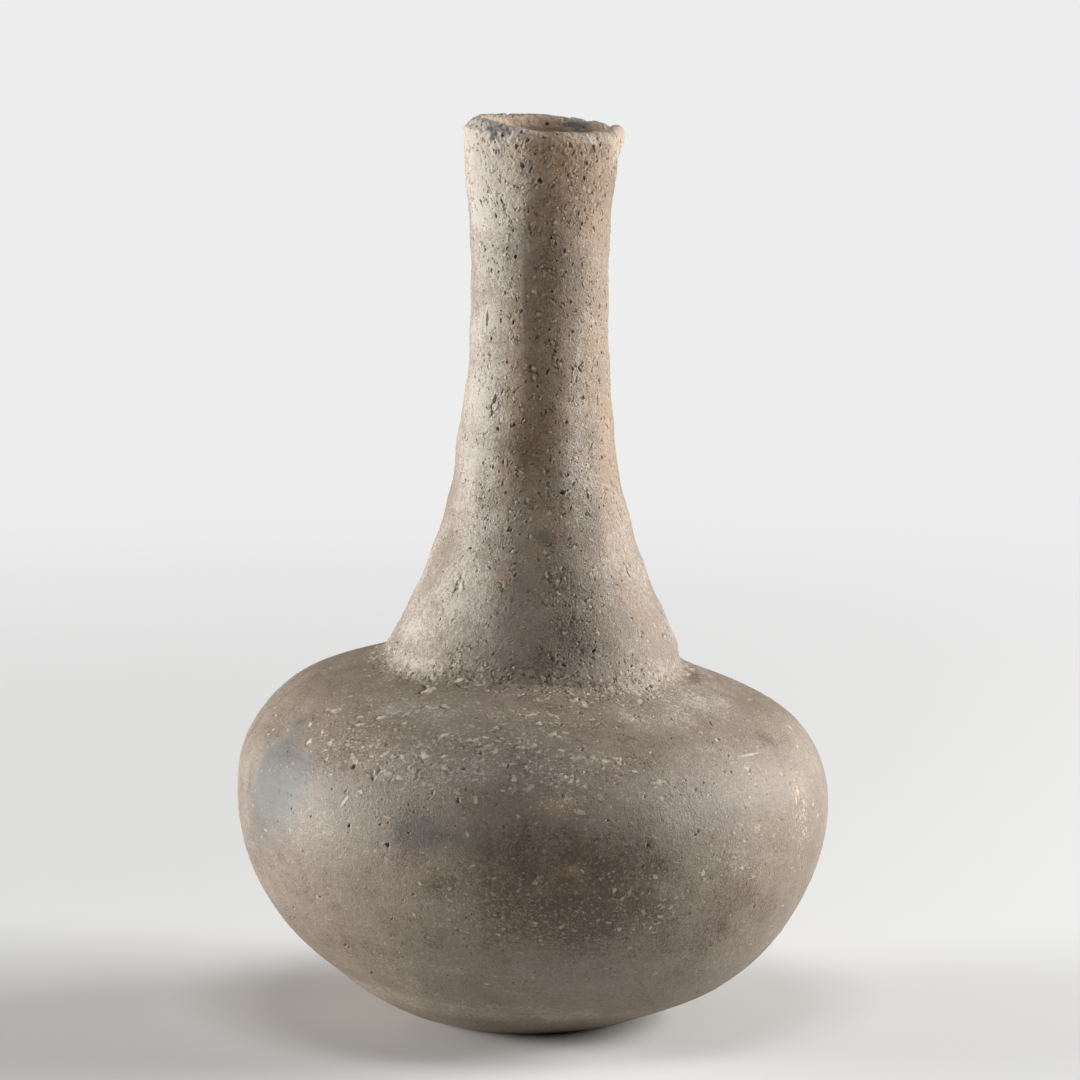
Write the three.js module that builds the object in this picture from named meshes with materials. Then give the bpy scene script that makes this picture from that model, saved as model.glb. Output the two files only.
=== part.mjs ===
// A hand-built pottery bottle, as the separate pieces of clay that its potter joined: a moulded base pat,
// rings of coiled clay that raise the lower wall, the shoulder and the neck, a smear of luting clay pressed
// into the corner at the neck's foot, and a lip coil round the mouth.
// Millimetres, +Z up. The origin is the centre of the flat seat under the base, and -Y is the front.
import * as THREE from "three";

// Outside of the bottle: radius and height at each place where its outline turns
const SEAT_RADIUS = 28;
const BELLY_RADIUS = 82;
const BELLY_HEIGHT = 61;
const NECK_FOOT_RADIUS = 42;
const NECK_FOOT_HEIGHT = 100.5;
const WAIST_RADIUS = 18.9;
const WAIST_HEIGHT = 202;
const MOUTH_RADIUS = 22.2;
const MOUTH_HEIGHT = 246;

// How long the outline keeps its direction as it leaves one of those places for the next one below or above,
// as a share of the way there: of the radius beside the seat and on the shoulder, and elsewhere of the height
const SEAT_EASE = 0.04;
const BELLY_EASE_DOWN = 0.74;
const BELLY_EASE_UP = 0.82;
const SHOULDER_EASE = 0.28;
const NECK_FOOT_EASE = 0.2;
const WAIST_EASE_DOWN = 0.63;
const WAIST_EASE_UP = 0.62;
const MOUTH_EASE = 0.3;

// Slopes above the horizontal, in degrees
const SHOULDER_SLOPE = 33;
const NECK_FOOT_SLOPE = 67;
const MOUTH_SLOPE = 83;

// Thickness of the clay
const BASE_WALL = 9;
const BELLY_WALL = 6.5;
const NECK_FOOT_WALL = 7;
const MOUTH_WALL = 6;

// The potter's pieces
const BASE_PAT_EDGE = 21; // up the outline from the seat to the base pat's edge
const LOWER_COILS = 4;
const SHOULDER_COILS = 4;
const NECK_COILS = 9;
const LIP_COIL_HEIGHT = 14; // down the outline from the mouth to the lip coil's joint
const COIL_LAP = 3; // how much higher a joint is on the inside than on the outside
const COIL_BULGE = 0.8; // how far an unsmoothed coil swells into the hollow
const SLIP_FILM = 0.3; // wet clay that bonds two pieces
const LUTING_LEG = 3.5; // from the corner at the neck's foot, along the shoulder and up the neck
const LUTING_DEPTH = 1.1; // in that corner, with its slip
const LUTING_EDGE = 0.3; // thickness at its two edges

// The maker's unevenness
const LOW_SHIFT = -1.5; // sideways from the seat's centre, along X
const LOW_SHIFT_HEIGHT = 10;
const NECK_FOOT_SHIFT = 2;
const MOUTH_SHIFT = 2.8;
const RING_TILT = 3.7; // degrees, the left side high
const RING_TILT_HEIGHT = 14; // above this every ring is tilted in full

// The worn lip: a lobe that flares out on the right, a chip behind it, and a high place on the left of the front.
// Angles are in degrees about +Z from +X.
const LIP_LOBE = { angle: -5, halfWidth: 20, rise: 0.6, flare: 1.5 };
const LIP_CHIP = { angle: 14, halfWidth: 16, rise: -1.6, flare: 0 };
const LIP_CREST = { angle: 228, halfWidth: 45, rise: 0.9, flare: 0 };

// Facets
const SIDES = 48; // round each ring
const LIP_STEPS = 4; // over the lip

const { degToRad, smoothstep, lerp } = THREE.MathUtils;

const clayMaterial = new THREE.MeshStandardMaterial({ color: 0x8a7c6e, roughness: 0.85, metalness: 0 });
const lutingMaterial = new THREE.MeshStandardMaterial({ color: 0x9a8b7a, roughness: 0.92, metalness: 0 });
const lipMaterial = new THREE.MeshStandardMaterial({ color: 0x98897a, roughness: 0.9, metalness: 0 });

// A step from a point, of a length and at a slope above the horizontal.
function stepFrom(point, length, slopeDegrees) {
  const slope = degToRad(slopeDegrees);
  return new THREE.Vector2(point.x + length * Math.cos(slope), point.y + length * Math.sin(slope));
}

// The outside of the bottle from the edge of its seat to its mouth, as radius (x) and height (y).
function makeOutline() {
  const seat = new THREE.Vector2(SEAT_RADIUS, 0);
  const belly = new THREE.Vector2(BELLY_RADIUS, BELLY_HEIGHT);
  const foot = new THREE.Vector2(NECK_FOOT_RADIUS, NECK_FOOT_HEIGHT);
  const waist = new THREE.Vector2(WAIST_RADIUS, WAIST_HEIGHT);
  const mouth = new THREE.Vector2(MOUTH_RADIUS, MOUTH_HEIGHT);
  const neckHeight = waist.y - foot.y;
  const flareHeight = mouth.y - waist.y;
  const leaveSeat = stepFrom(seat, SEAT_EASE * (belly.x - seat.x), 0);
  const meetBelly = stepFrom(belly, BELLY_EASE_DOWN * belly.y, -90);
  const leaveBelly = stepFrom(belly, BELLY_EASE_UP * (foot.y - belly.y), 90);
  const meetFoot = stepFrom(foot, SHOULDER_EASE * (belly.x - foot.x), -SHOULDER_SLOPE);
  const leaveFoot = stepFrom(foot, NECK_FOOT_EASE * neckHeight, 180 - NECK_FOOT_SLOPE);
  const meetWaist = stepFrom(waist, WAIST_EASE_DOWN * neckHeight, -90);
  const leaveWaist = stepFrom(waist, WAIST_EASE_UP * flareHeight, 90);
  const meetMouth = stepFrom(mouth, MOUTH_EASE * flareHeight, 180 + MOUTH_SLOPE);
  const outline = new THREE.CurvePath();
  outline.add(new THREE.CubicBezierCurve(seat, leaveSeat, meetBelly, belly));
  outline.add(new THREE.CubicBezierCurve(belly, leaveBelly, meetFoot, foot));
  outline.add(new THREE.CubicBezierCurve(foot, leaveFoot, meetWaist, waist));
  outline.add(new THREE.CubicBezierCurve(waist, leaveWaist, meetMouth, mouth));
  return outline;
}

const outline = makeOutline();

// Distances along the outline, from the edge of the seat
const [BELLY_AT, NECK_FOOT_AT, , MOUTH_AT] = outline.getCurveLengths();
const LIP_JOINT_AT = MOUTH_AT - LIP_COIL_HEIGHT;

// The thickness of the wall at a distance along the outline.
function wallAt(along) {
  const places = [0, BELLY_AT, NECK_FOOT_AT, MOUTH_AT];
  const walls = [BASE_WALL, BELLY_WALL, NECK_FOOT_WALL, MOUTH_WALL];
  const last = places.length - 2;
  const span = Math.min(last, places.findLastIndex((place) => place <= along));
  const share = (along - places[span]) / (places[span + 1] - places[span]);
  return lerp(walls[span], walls[span + 1], share);
}

// The direction out of the clay at a distance along the outline.
function outwardAt(along) {
  const tangent = outline.getTangent(along / MOUTH_AT);
  return new THREE.Vector2(tangent.y, -tangent.x);
}

// A point that lies proud of the outside by some depth, or inside the clay where the depth is negative.
function pointAt(along, depth = 0) {
  return outline.getPoint(along / MOUTH_AT).addScaledVector(outwardAt(along), depth);
}

const outsideAt = (along) => pointAt(along);
const insideAt = (along, bulge = 0) => pointAt(along, -wallAt(along) - bulge);

// How far a ring of clay at some height has moved sideways as the wall was raised.
function sideShift(height) {
  const low = LOW_SHIFT * smoothstep(height, 0, LOW_SHIFT_HEIGHT);
  const body = (NECK_FOOT_SHIFT - LOW_SHIFT) * smoothstep(height, LOW_SHIFT_HEIGHT, NECK_FOOT_HEIGHT);
  const neck = (MOUTH_SHIFT - NECK_FOOT_SHIFT) * smoothstep(height, NECK_FOOT_HEIGHT, MOUTH_HEIGHT);
  return low + body + neck;
}

// How far the ring at some height drops for each millimetre to the right.
function sideDrop(height) {
  return Math.tan(degToRad(RING_TILT)) * smoothstep(height, 0, RING_TILT_HEIGHT);
}

// Moves each point of a geometry: move(point) changes the point it is given.
function movePoints(geometry, move) {
  const position = geometry.getAttribute("position");
  const point = new THREE.Vector3();
  for (let i = 0; i < position.count; i++) {
    point.fromBufferAttribute(position, i);
    move(point);
    position.setXYZ(i, point.x, point.y, point.z);
  }
  geometry.computeVertexNormals();
  return geometry;
}

function lean(point) {
  const height = point.z;
  point.x += sideShift(height);
  point.z -= sideDrop(height) * point.x;
}

// A ring of clay whose section is given as points that run anticlockwise seen with the axis on the left.
function turnRing(section, move = () => {}) {
  const geometry = new THREE.LatheGeometry(section, SIDES).rotateX(Math.PI / 2);
  return movePoints(geometry, (point) => {
    move(point);
    lean(point);
  });
}

function makePiece(name, material, geometry) {
  const mesh = new THREE.Mesh(geometry, material);
  mesh.name = name;
  return mesh;
}

// A joint between two pieces, as its places along the outline on the outside and on the inside.
const lapJoint = (along) => ({ outside: along, inside: along + COIL_LAP });
const squareJoint = (along) => ({ outside: along, inside: along });

// A coil between two joints. It swells into the hollow at its middle, where no finger smoothed it.
function coilSection(below, above, outsideMiddle = (below.outside + above.outside) / 2) {
  const film = SLIP_FILM / 2;
  const insideMiddle = (below.inside + above.inside) / 2;
  const section = [
    outsideAt(below.outside + film),
    outsideAt(outsideMiddle),
    outsideAt(above.outside - film),
    insideAt(above.inside - film),
    insideAt(insideMiddle, COIL_BULGE),
    insideAt(below.inside + film),
  ];
  return [...section, section[0]];
}

// The moulded pat under the bottle: a dished disc with a flat seat.
function makeBasePat(edge) {
  const film = SLIP_FILM / 2;
  const section = [
    new THREE.Vector2(0, 0),
    outsideAt(0),
    outsideAt(edge.outside / 3),
    outsideAt((edge.outside * 2) / 3),
    outsideAt(edge.outside - film),
    insideAt(edge.inside - film),
    insideAt(edge.inside / 2),
    insideAt(0),
    new THREE.Vector2(0, BASE_WALL),
  ];
  return makePiece("base_pat", clayMaterial, turnRing(section));
}

// The joints of a stretch of equal coils, from one place along the outline to another.
function jointsBetween(from, to, count, makeJoint = lapJoint) {
  return Array.from({ length: count + 1 }, (_, i) => makeJoint(lerp(from, to, i / count)));
}

function makeCoils(name, joints, middles = {}) {
  return joints.slice(1).map((above, i) => {
    const section = coilSection(joints[i], above, middles[i]);
    return makePiece(`${name}_${i + 1}`, clayMaterial, turnRing(section));
  });
}

// Clay smeared into the corner between the shoulder and the neck, thickest in the corner.
function makeLuting() {
  const from = NECK_FOOT_AT - LUTING_LEG;
  const to = NECK_FOOT_AT + LUTING_LEG;
  const section = [
    pointAt(from, SLIP_FILM),
    pointAt(from, SLIP_FILM + LUTING_EDGE),
    pointAt(NECK_FOOT_AT, LUTING_DEPTH),
    pointAt(to, SLIP_FILM + LUTING_EDGE),
    pointAt(to, SLIP_FILM),
    pointAt(NECK_FOOT_AT, SLIP_FILM),
  ];
  return makePiece("neck_luting", lutingMaterial, turnRing([...section, section[0]]));
}

// Lifts a point of the lip and moves it out, as much as a patch of wear does at the point's place round the mouth.
function wearLip(point, { angle, halfWidth, rise, flare }) {
  const degrees = THREE.MathUtils.radToDeg(Math.atan2(point.y, point.x));
  const away = Math.abs(THREE.MathUtils.euclideanModulo(degrees - angle + 180, 360) - 180);
  const worn = smoothstep(point.z, MOUTH_HEIGHT - LIP_COIL_HEIGHT / 2, MOUTH_HEIGHT);
  const share = worn * (1 - smoothstep(away, 0, halfWidth));
  const radius = Math.hypot(point.x, point.y);
  point.x *= 1 + (share * flare) / radius;
  point.y *= 1 + (share * flare) / radius;
  point.z += share * rise;
}

// The coil that closes the mouth. Its top is rounded over, and worn unevenly.
function makeLip(joint) {
  const film = SLIP_FILM / 2;
  const topOutside = outsideAt(MOUTH_AT);
  const topInside = insideAt(MOUTH_AT);
  const centre = topOutside.clone().add(topInside).multiplyScalar(0.5);
  const crest = Array.from({ length: LIP_STEPS - 1 }, (_, i) => {
    const turn = (Math.PI * (i + 1)) / LIP_STEPS;
    return topOutside.clone().rotateAround(centre, turn);
  });
  const section = [
    outsideAt(joint.outside + film),
    outsideAt((joint.outside + MOUTH_AT) / 2),
    topOutside,
    ...crest,
    topInside,
    insideAt((joint.inside + MOUTH_AT) / 2, COIL_BULGE),
    insideAt(joint.inside + film),
  ];
  const wear = (point) => [LIP_LOBE, LIP_CHIP, LIP_CREST].forEach((patch) => wearLip(point, patch));
  return makePiece("lip_coil", lipMaterial, turnRing([...section, section[0]], wear));
}

function makeBottle() {
  const bottle = new THREE.Group();
  const lowerJoints = jointsBetween(BASE_PAT_EDGE, BELLY_AT, LOWER_COILS);
  const shoulderJoints = jointsBetween(BELLY_AT, NECK_FOOT_AT, SHOULDER_COILS);
  const neckJoints = jointsBetween(NECK_FOOT_AT, LIP_JOINT_AT, NECK_COILS);
  // The neck stands square on the shoulder, and the luting lies over their joint.
  shoulderJoints[SHOULDER_COILS] = squareJoint(NECK_FOOT_AT);
  neckJoints[0] = squareJoint(NECK_FOOT_AT);
  // The coils beside that corner have an edge of the luting for their middle, so that it lies flat on them.
  const shoulderMiddles = { [SHOULDER_COILS - 1]: NECK_FOOT_AT - LUTING_LEG };
  const neckMiddles = { 0: NECK_FOOT_AT + LUTING_LEG };
  bottle.add(makeBasePat(lowerJoints[0]));
  bottle.add(...makeCoils("lower_wall_coil", lowerJoints));
  bottle.add(...makeCoils("shoulder_coil", shoulderJoints, shoulderMiddles));
  bottle.add(makeLuting());
  bottle.add(...makeCoils("neck_coil", neckJoints, neckMiddles));
  bottle.add(makeLip(neckJoints[NECK_COILS]));
  return bottle;
}

export default makeBottle();
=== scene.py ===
"""A pottery bottle built by hand from a pat, coils, luting and a lip, with the marks of its clay and fire."""
import itertools
import math
from collections import namedtuple

import bpy
import numpy as np
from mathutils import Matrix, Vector


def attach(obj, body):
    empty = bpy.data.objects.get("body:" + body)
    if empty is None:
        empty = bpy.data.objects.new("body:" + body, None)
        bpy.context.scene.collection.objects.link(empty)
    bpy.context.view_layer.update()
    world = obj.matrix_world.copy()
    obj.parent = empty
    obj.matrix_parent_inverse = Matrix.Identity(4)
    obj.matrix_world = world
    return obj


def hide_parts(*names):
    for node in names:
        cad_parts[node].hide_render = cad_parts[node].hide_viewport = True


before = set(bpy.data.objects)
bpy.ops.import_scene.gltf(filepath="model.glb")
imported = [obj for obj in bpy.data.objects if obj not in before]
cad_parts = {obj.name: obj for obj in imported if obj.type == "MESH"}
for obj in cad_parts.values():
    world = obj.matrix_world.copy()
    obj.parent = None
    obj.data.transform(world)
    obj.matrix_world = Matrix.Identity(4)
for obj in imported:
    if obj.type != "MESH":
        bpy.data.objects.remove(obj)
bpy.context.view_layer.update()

# The bottle's outline: radii and heights in millimetres, slopes in degrees, and eases as shares of a span
MM = 0.001
SEAT_RADIUS = 28.0
BELLY_RADIUS, BELLY_HEIGHT = 82.0, 61.0
NECK_FOOT_RADIUS, NECK_FOOT_HEIGHT = 42.0, 100.5
WAIST_RADIUS, WAIST_HEIGHT = 18.9, 202.0
MOUTH_RADIUS, MOUTH_HEIGHT = 22.2, 246.0
SEAT_EASE, BELLY_EASE_DOWN, BELLY_EASE_UP, SHOULDER_EASE = 0.04, 0.74, 0.82, 0.28
NECK_FOOT_EASE, WAIST_EASE_DOWN, WAIST_EASE_UP, MOUTH_EASE = 0.2, 0.63, 0.62, 0.3
SHOULDER_SLOPE, NECK_FOOT_SLOPE, MOUTH_SLOPE = 33.0, 67.0, 83.0
BASE_WALL, BELLY_WALL, NECK_FOOT_WALL, MOUTH_WALL = 9.0, 6.5, 7.0, 6.0

# The courses of clay, by their length along the outline
BASE_PAT_EDGE = 21.0
LOWER_COILS, SHOULDER_COILS, NECK_COILS = 4, 4, 9
LIP_COIL_HEIGHT = 14.0
COIL_LAP = 3.0

# How the bottle leans: its rings shift to the side and tilt
LOW_SHIFT, LOW_SHIFT_HEIGHT = -1.5, 10.0
NECK_FOOT_SHIFT, MOUTH_SHIFT = 2.0, 2.8
RING_TILT, RING_TILT_HEIGHT = 3.7, 14.0

# How fine the surface is: columns round the bottle, and the height of a row in millimetres
COARSER = 1
AROUND = 1280 // COARSER
BODY_ROW, NECK_ROW, LIP_ROW = 0.45 * COARSER, 0.3 * COARSER, 0.3 * COARSER
MOUTH_ROW, INNER_ROW = 0.7 * COARSER, 2.5
MOUTH_DEPTH = 30.0
CURVE_POINTS = 400

# Places are given as a turn, in degrees to the right of the front, and a height in millimetres
Dent = namedtuple("Dent", "turn height wide tall depth lean", defaults=(0,))
Patch = namedtuple("Patch", "turn height wide tall strength")
Wear = namedtuple("Wear", "turn wide rise flare")
Smear = namedtuple("Smear", "turn wide reach")

MASKS = ("tone_and_painted_light", "cloud", "pink", "pit_shade", "temper", "neck", "flake", "pale", "along")


def smooth(value, start, end):
    """Rises from 0 at start to 1 at end, level at both."""
    share = np.clip((value - start) / (end - start), 0, 1)
    return share * share * (3 - 2 * share)


# The section of the wall

def stepped(point, length, degrees):
    """The point that lies a length away in a direction."""
    angle = math.radians(degrees)
    return point + length * np.array([math.cos(angle), math.sin(angle)])


def bezier(start, leave, arrive, end):
    """Points of a cubic curve."""
    t = np.linspace(0, 1, CURVE_POINTS)[:, None]
    return (1 - t) ** 3 * start + 3 * t * (1 - t) ** 2 * leave + 3 * t * t * (1 - t) * arrive + t ** 3 * end


class Outline:
    """The outside of the wall from the seat's edge to the mouth, measured along its length."""

    def __init__(self):
        seat = np.array([SEAT_RADIUS, 0.0])
        belly = np.array([BELLY_RADIUS, BELLY_HEIGHT])
        foot = np.array([NECK_FOOT_RADIUS, NECK_FOOT_HEIGHT])
        waist = np.array([WAIST_RADIUS, WAIST_HEIGHT])
        mouth = np.array([MOUTH_RADIUS, MOUTH_HEIGHT])
        body, rise = belly[0] - seat[0], foot[1] - belly[1]
        neck, flare = waist[1] - foot[1], mouth[1] - waist[1]
        curves = [
            bezier(seat, stepped(seat, SEAT_EASE * body, 0),
                   stepped(belly, BELLY_EASE_DOWN * belly[1], -90), belly),
            bezier(belly, stepped(belly, BELLY_EASE_UP * rise, 90),
                   stepped(foot, SHOULDER_EASE * (belly[0] - foot[0]), -SHOULDER_SLOPE), foot),
            bezier(foot, stepped(foot, NECK_FOOT_EASE * neck, 180 - NECK_FOOT_SLOPE),
                   stepped(waist, WAIST_EASE_DOWN * neck, -90), waist),
            bezier(waist, stepped(waist, WAIST_EASE_UP * flare, 90),
                   stepped(mouth, MOUTH_EASE * flare, 180 + MOUTH_SLOPE), mouth),
        ]
        points = [curves[0]] + [curve[1:] for curve in curves[1:]]
        self.points = np.concatenate(points)
        steps = np.linalg.norm(np.diff(self.points, axis=0), axis=1)
        self.run = np.concatenate([[0.0], np.cumsum(steps)])
        ends = np.cumsum([len(part) for part in points]) - 1
        self.belly, self.foot, _, self.mouth = self.run[ends]

    def at(self, run):
        """Radius and height at a length along the outline."""
        return np.stack([np.interp(run, self.run, self.points[:, k]) for k in (0, 1)], -1)

    def normal(self, run, reach=0.6):
        """The direction out of the wall."""
        ahead = self.at(np.minimum(run + reach, self.mouth))
        behind = self.at(np.maximum(run - reach, 0))
        along = ahead - behind
        along /= np.linalg.norm(along, axis=-1, keepdims=True)
        return np.stack([along[..., 1], -along[..., 0]], -1)

    def wall(self, run):
        """The wall's thickness."""
        return np.interp(run, [0, self.belly, self.foot, self.mouth],
                         [BASE_WALL, BELLY_WALL, NECK_FOOT_WALL, MOUTH_WALL])


OUTLINE = Outline()


def joints():
    """Where one course of clay meets the next, as lengths along the outline."""
    lower = np.linspace(BASE_PAT_EDGE, OUTLINE.belly, LOWER_COILS + 1)
    shoulder = np.linspace(OUTLINE.belly, OUTLINE.foot, SHOULDER_COILS + 1)
    neck = np.linspace(OUTLINE.foot, OUTLINE.mouth - LIP_COIL_HEIGHT, NECK_COILS + 1)
    return np.concatenate([lower, shoulder[1:], neck[1:]])


JOINTS = joints()


def inner_joint(run):
    """Where a joint comes out inside: higher by the lap, but square at the foot of the neck."""
    return run if math.isclose(run, OUTLINE.foot) else run + COIL_LAP


def spaced(start, end, step):
    """Values from start to end, about a step apart."""
    return np.linspace(start, end, max(2, int(round(abs(end - start) / step)) + 1))


class Section:
    """The rows of the surface: from the seat's middle up the outside, over the lip and down the inside.

    A row's run is its length along the outline. Its path also grows over the lip and down the inside.
    """

    def __init__(self):
        self.base, self.normal, self.run, self.side = [], [], [], []
        self.outer, self.inner = [], []
        seat = spaced(0, SEAT_RADIUS, 2 * BODY_ROW)[1:-1]
        self.seat = self.add(np.stack([seat, 0 * seat], -1), np.tile([0.0, -1.0], (len(seat), 1)),
                             seat - SEAT_RADIUS, "seat")
        self.add_outside()
        self.add_lip()
        self.add_inside()
        floor = spaced(self.base[-1][0], 0, INNER_ROW)[1:-1]
        level = np.full(len(floor), self.base[-1][1])
        self.floor = self.add(np.stack([floor, level], -1), np.tile([0.0, 1.0], (len(floor), 1)),
                              0 * floor, "floor")
        self.floor_level = level[0]
        self.base, self.normal = np.array(self.base), np.array(self.normal)
        self.run, self.side = np.array(self.run), np.array(self.side)
        down = 2 * OUTLINE.mouth + math.pi * MOUTH_WALL / 2 - self.run
        self.path = np.where(self.side == "inside", down, self.run)
        self.path[self.floor] = math.inf

    def add(self, base, normal, run, side):
        """Adds rows and returns their numbers."""
        first = len(self.base)
        self.base.extend(base)
        self.normal.extend(normal)
        self.run.extend(run)
        self.side.extend([side] * len(base))
        return list(range(first, len(self.base)))

    def add_outside(self):
        """Rows of each course on the outside. Neighbours share the row of their joint."""
        borders = [0.0, *JOINTS, OUTLINE.mouth]
        for low, high in zip(borders, borders[1:]):
            run = spaced(low, high, NECK_ROW if low >= OUTLINE.foot else BODY_ROW)
            shared = [self.outer[-1][-1]] if self.outer else []
            if shared:
                run = run[1:]
            rows = self.add(OUTLINE.at(run), OUTLINE.normal(run), run, "outside")
            self.outer.append(shared + rows)

    def add_lip(self):
        """Rows over the rounded lip."""
        out = OUTLINE.normal(OUTLINE.mouth)
        up = np.array([-out[1], out[0]])
        half = MOUTH_WALL / 2
        middle = OUTLINE.at(OUTLINE.mouth) - half * out
        angle = spaced(0, math.pi, LIP_ROW / half)[1:-1, None]
        facing = np.cos(angle) * out + np.sin(angle) * up
        self.lip = self.add(middle + half * facing, facing, OUTLINE.mouth + half * angle[:, 0], "lip")

    def add_inside(self):
        """Rows of each course on the inside, from the mouth down."""
        borders = [OUTLINE.mouth, *[inner_joint(run) for run in JOINTS[::-1]], 0.0]
        for high, low in zip(borders, borders[1:]):
            step = MOUTH_ROW if low > OUTLINE.mouth - MOUTH_DEPTH else INNER_ROW
            run = spaced(high, low, step)
            shared = [self.inner[-1][-1]] if self.inner else []
            if shared:
                run = run[1:]
            out = OUTLINE.normal(run)
            base = OUTLINE.at(run) - OUTLINE.wall(run)[:, None] * out
            self.inner.append(shared + self.add(base, -out, run, "inside"))
        self.inner.reverse()


# Noise in space

GRADIENT_COUNT, GRADIENT_SEED = 1 << 16, 11
GRADIENTS = np.random.default_rng(GRADIENT_SEED).normal(size=(GRADIENT_COUNT, 3)).astype(np.float32)
GRADIENTS /= np.linalg.norm(GRADIENTS, axis=1, keepdims=True)
HASH = (73856093, 19349663, 83492791, 39916801)
NOISE_GAIN = 1.6
Bumps = namedtuple("Bumps", "height size seed octaves", defaults=(1,))


def noise(points, size, seed):
    """Smooth noise between about -1 and 1, with bumps of a size in millimetres."""
    scaled = points / np.float32(size)
    cell = np.floor(scaled).astype(np.int64)
    part = (scaled - cell).astype(np.float32)
    ease = part ** 3 * (part * (part * 6 - 15) + 10)
    total = np.zeros(points.shape[:-1], np.float32)
    for corner in itertools.product((0, 1), repeat=3):
        pick = seed * HASH[3]
        for k in range(3):
            pick = pick ^ ((cell[..., k] + corner[k]) * HASH[k])
        slope = GRADIENTS[pick & (GRADIENT_COUNT - 1)]
        weight = 1.0
        rise = 0.0
        for k in range(3):
            weight = weight * (ease[..., k] if corner[k] else 1 - ease[..., k])
            rise = rise + slope[..., k] * (part[..., k] - corner[k])
        total += weight * rise
    return total * NOISE_GAIN


def fractal(points, size, seed, octaves):
    """Noise with finer noise on it."""
    return sum(noise(points, size / 2 ** k, seed + k) / 2 ** k for k in range(octaves))


def bumps(points, kind):
    """Noise of a kind, with bumps of its height and size."""
    return kind.height * fractal(points, kind.size, kind.seed, kind.octaves)


# The skin: its relief in millimetres and its masks

class Skin:
    """The surface as a grid: rows along the section, and columns round from the back by the left side."""

    def __init__(self, section):
        self.section = section
        self.turn = np.linspace(-180, 180, AROUND, endpoint=False)
        angle = np.radians(self.turn - 90)
        self.round = np.stack([np.cos(angle), np.sin(angle)], -1).astype(np.float32)
        self.radius = section.base[:, 0].astype(np.float32)
        self.height = section.base[:, 1].astype(np.float32)
        shape = (len(self.radius), AROUND)
        self.points = np.empty((*shape, 3), np.float32)
        self.points[..., :2] = self.radius[:, None, None] * self.round
        self.points[..., 2] = self.height[:, None]
        self.relief = np.zeros(shape, np.float32)
        self.masks = {name: np.zeros(shape, np.float32) for name in MASKS}
        self.level = self.placed(self.points)[..., 2]
        self.outside = np.flatnonzero(section.side == "outside")

    def placed(self, points):
        """Points of the upright bottle where its lean puts them."""
        height = points[..., 2]
        shift = (LOW_SHIFT * smooth(height, 0, LOW_SHIFT_HEIGHT)
                 + (NECK_FOOT_SHIFT - LOW_SHIFT) * smooth(height, LOW_SHIFT_HEIGHT, NECK_FOOT_HEIGHT)
                 + (MOUTH_SHIFT - NECK_FOOT_SHIFT) * smooth(height, NECK_FOOT_HEIGHT, MOUTH_HEIGHT))
        drop = math.tan(math.radians(RING_TILT)) * smooth(height, 0, RING_TILT_HEIGHT)
        moved = points.copy()
        moved[..., 0] += shift
        moved[..., 2] -= drop * moved[..., 0]
        return moved

    def column(self, turn):
        """The column at a turn."""
        return int(round((turn + 180) / 360 * AROUND)) % AROUND

    def turned(self, turn):
        """How many degrees round the bottle each column is from a turn."""
        return np.abs((self.turn - turn + 180) % 360 - 180)

    def path_at(self, turn, height):
        """The path of a place outside."""
        level = self.level[self.outside, self.column(turn)]
        return self.section.path[self.outside[np.abs(level - height).argmin()]]

    def window(self, turn, path, reach):
        """The rows and columns within reach of a place, and how far each point lies to its right and up."""
        away = self.section.path - path
        rows = np.flatnonzero(np.abs(away) <= reach)
        radius = self.radius[rows]
        spread = int(math.ceil(reach / max(radius.min(), 1.0) / (2 * math.pi) * AROUND)) + 1
        offsets = np.arange(-min(spread, AROUND // 2), min(spread, AROUND // 2))
        columns = (self.column(turn) + offsets) % AROUND
        right = offsets * (2 * math.pi / AROUND) * radius[:, None]
        up = np.broadcast_to(away[rows][:, None], right.shape)
        return np.ix_(rows, columns), right, up


# Marks in the skin. Where they start and end is given in shares of their own size: 1 is on their edge

SHARD_SIDES, SHARD_TURN, SHARD_REACH = 5, 0.4, (0.45, 1.0)
SHARD_ROUGH, GRAIN_ROUGH, SHARD_GRAIN = 0.25, 0.55, 0.4
MARK_REACH, MARK_MARGIN = 0.9, 0.4
GOLDEN_ANGLE = 137.5
# Pits carry painted shade in their deep part, and crevices beside grains carry painted shade.
PIT_SHADE, PIT_FLOOR, PIT_DARK = 0.9, (0.45, 1.0), (0.35, 0.9)
TILTED_PIT, TILT_DARK = (1.6, 3.0), (0.45, 0.8)
TILT_MIDDLE, TILT_SLOPE, TILT_LEAST = 0.65, 0.6, 0.25
# A pit's rim is raised, and made paler with a painted highlight.
PIT_RIM, RIM_PAINTED_LIGHT, RIM_START, RIM_END = 0.08, 1.0, (0.85, 1.05), (1.15, 1.5)
CHIP_EDGE, CHIP_LEAST = (0.75, 1.0), 0.25
CREVICE_SHADE, CREVICE_DEPTH = 0.4, 1.4
CREVICE_START, CREVICE_END, CREVICE_SIDE = (0.8, 1.05), (1.15, 1.6), (0.0, 0.7)
SCRATCH_REACH, SCRATCH_MARGIN, SCRATCH_EDGE = 0.7, 0.6, (0.4, 0.7)
PATCH_REACH, PATCH_GRAIN, PATCH_ROUGH = 1.6, 0.6, 0.35
PATCH_SOFT, PATCH_END = 0.8, 1.2


def near_mark(skin, dent, path):
    """The points near a mark, and how far each lies to its right and up."""
    return skin.window(dent.turn, path, MARK_REACH * max(dent.wide, dent.tall) + MARK_MARGIN)


def leaned(dent, right, up):
    """How far each point lies across and along a leaning mark: 1 on its edges."""
    angle = math.radians(dent.lean)
    across = (right * math.cos(angle) + up * math.sin(angle)) / (dent.wide / 2)
    along = (up * math.cos(angle) - right * math.sin(angle)) / (dent.tall / 2)
    return across, along


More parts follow.
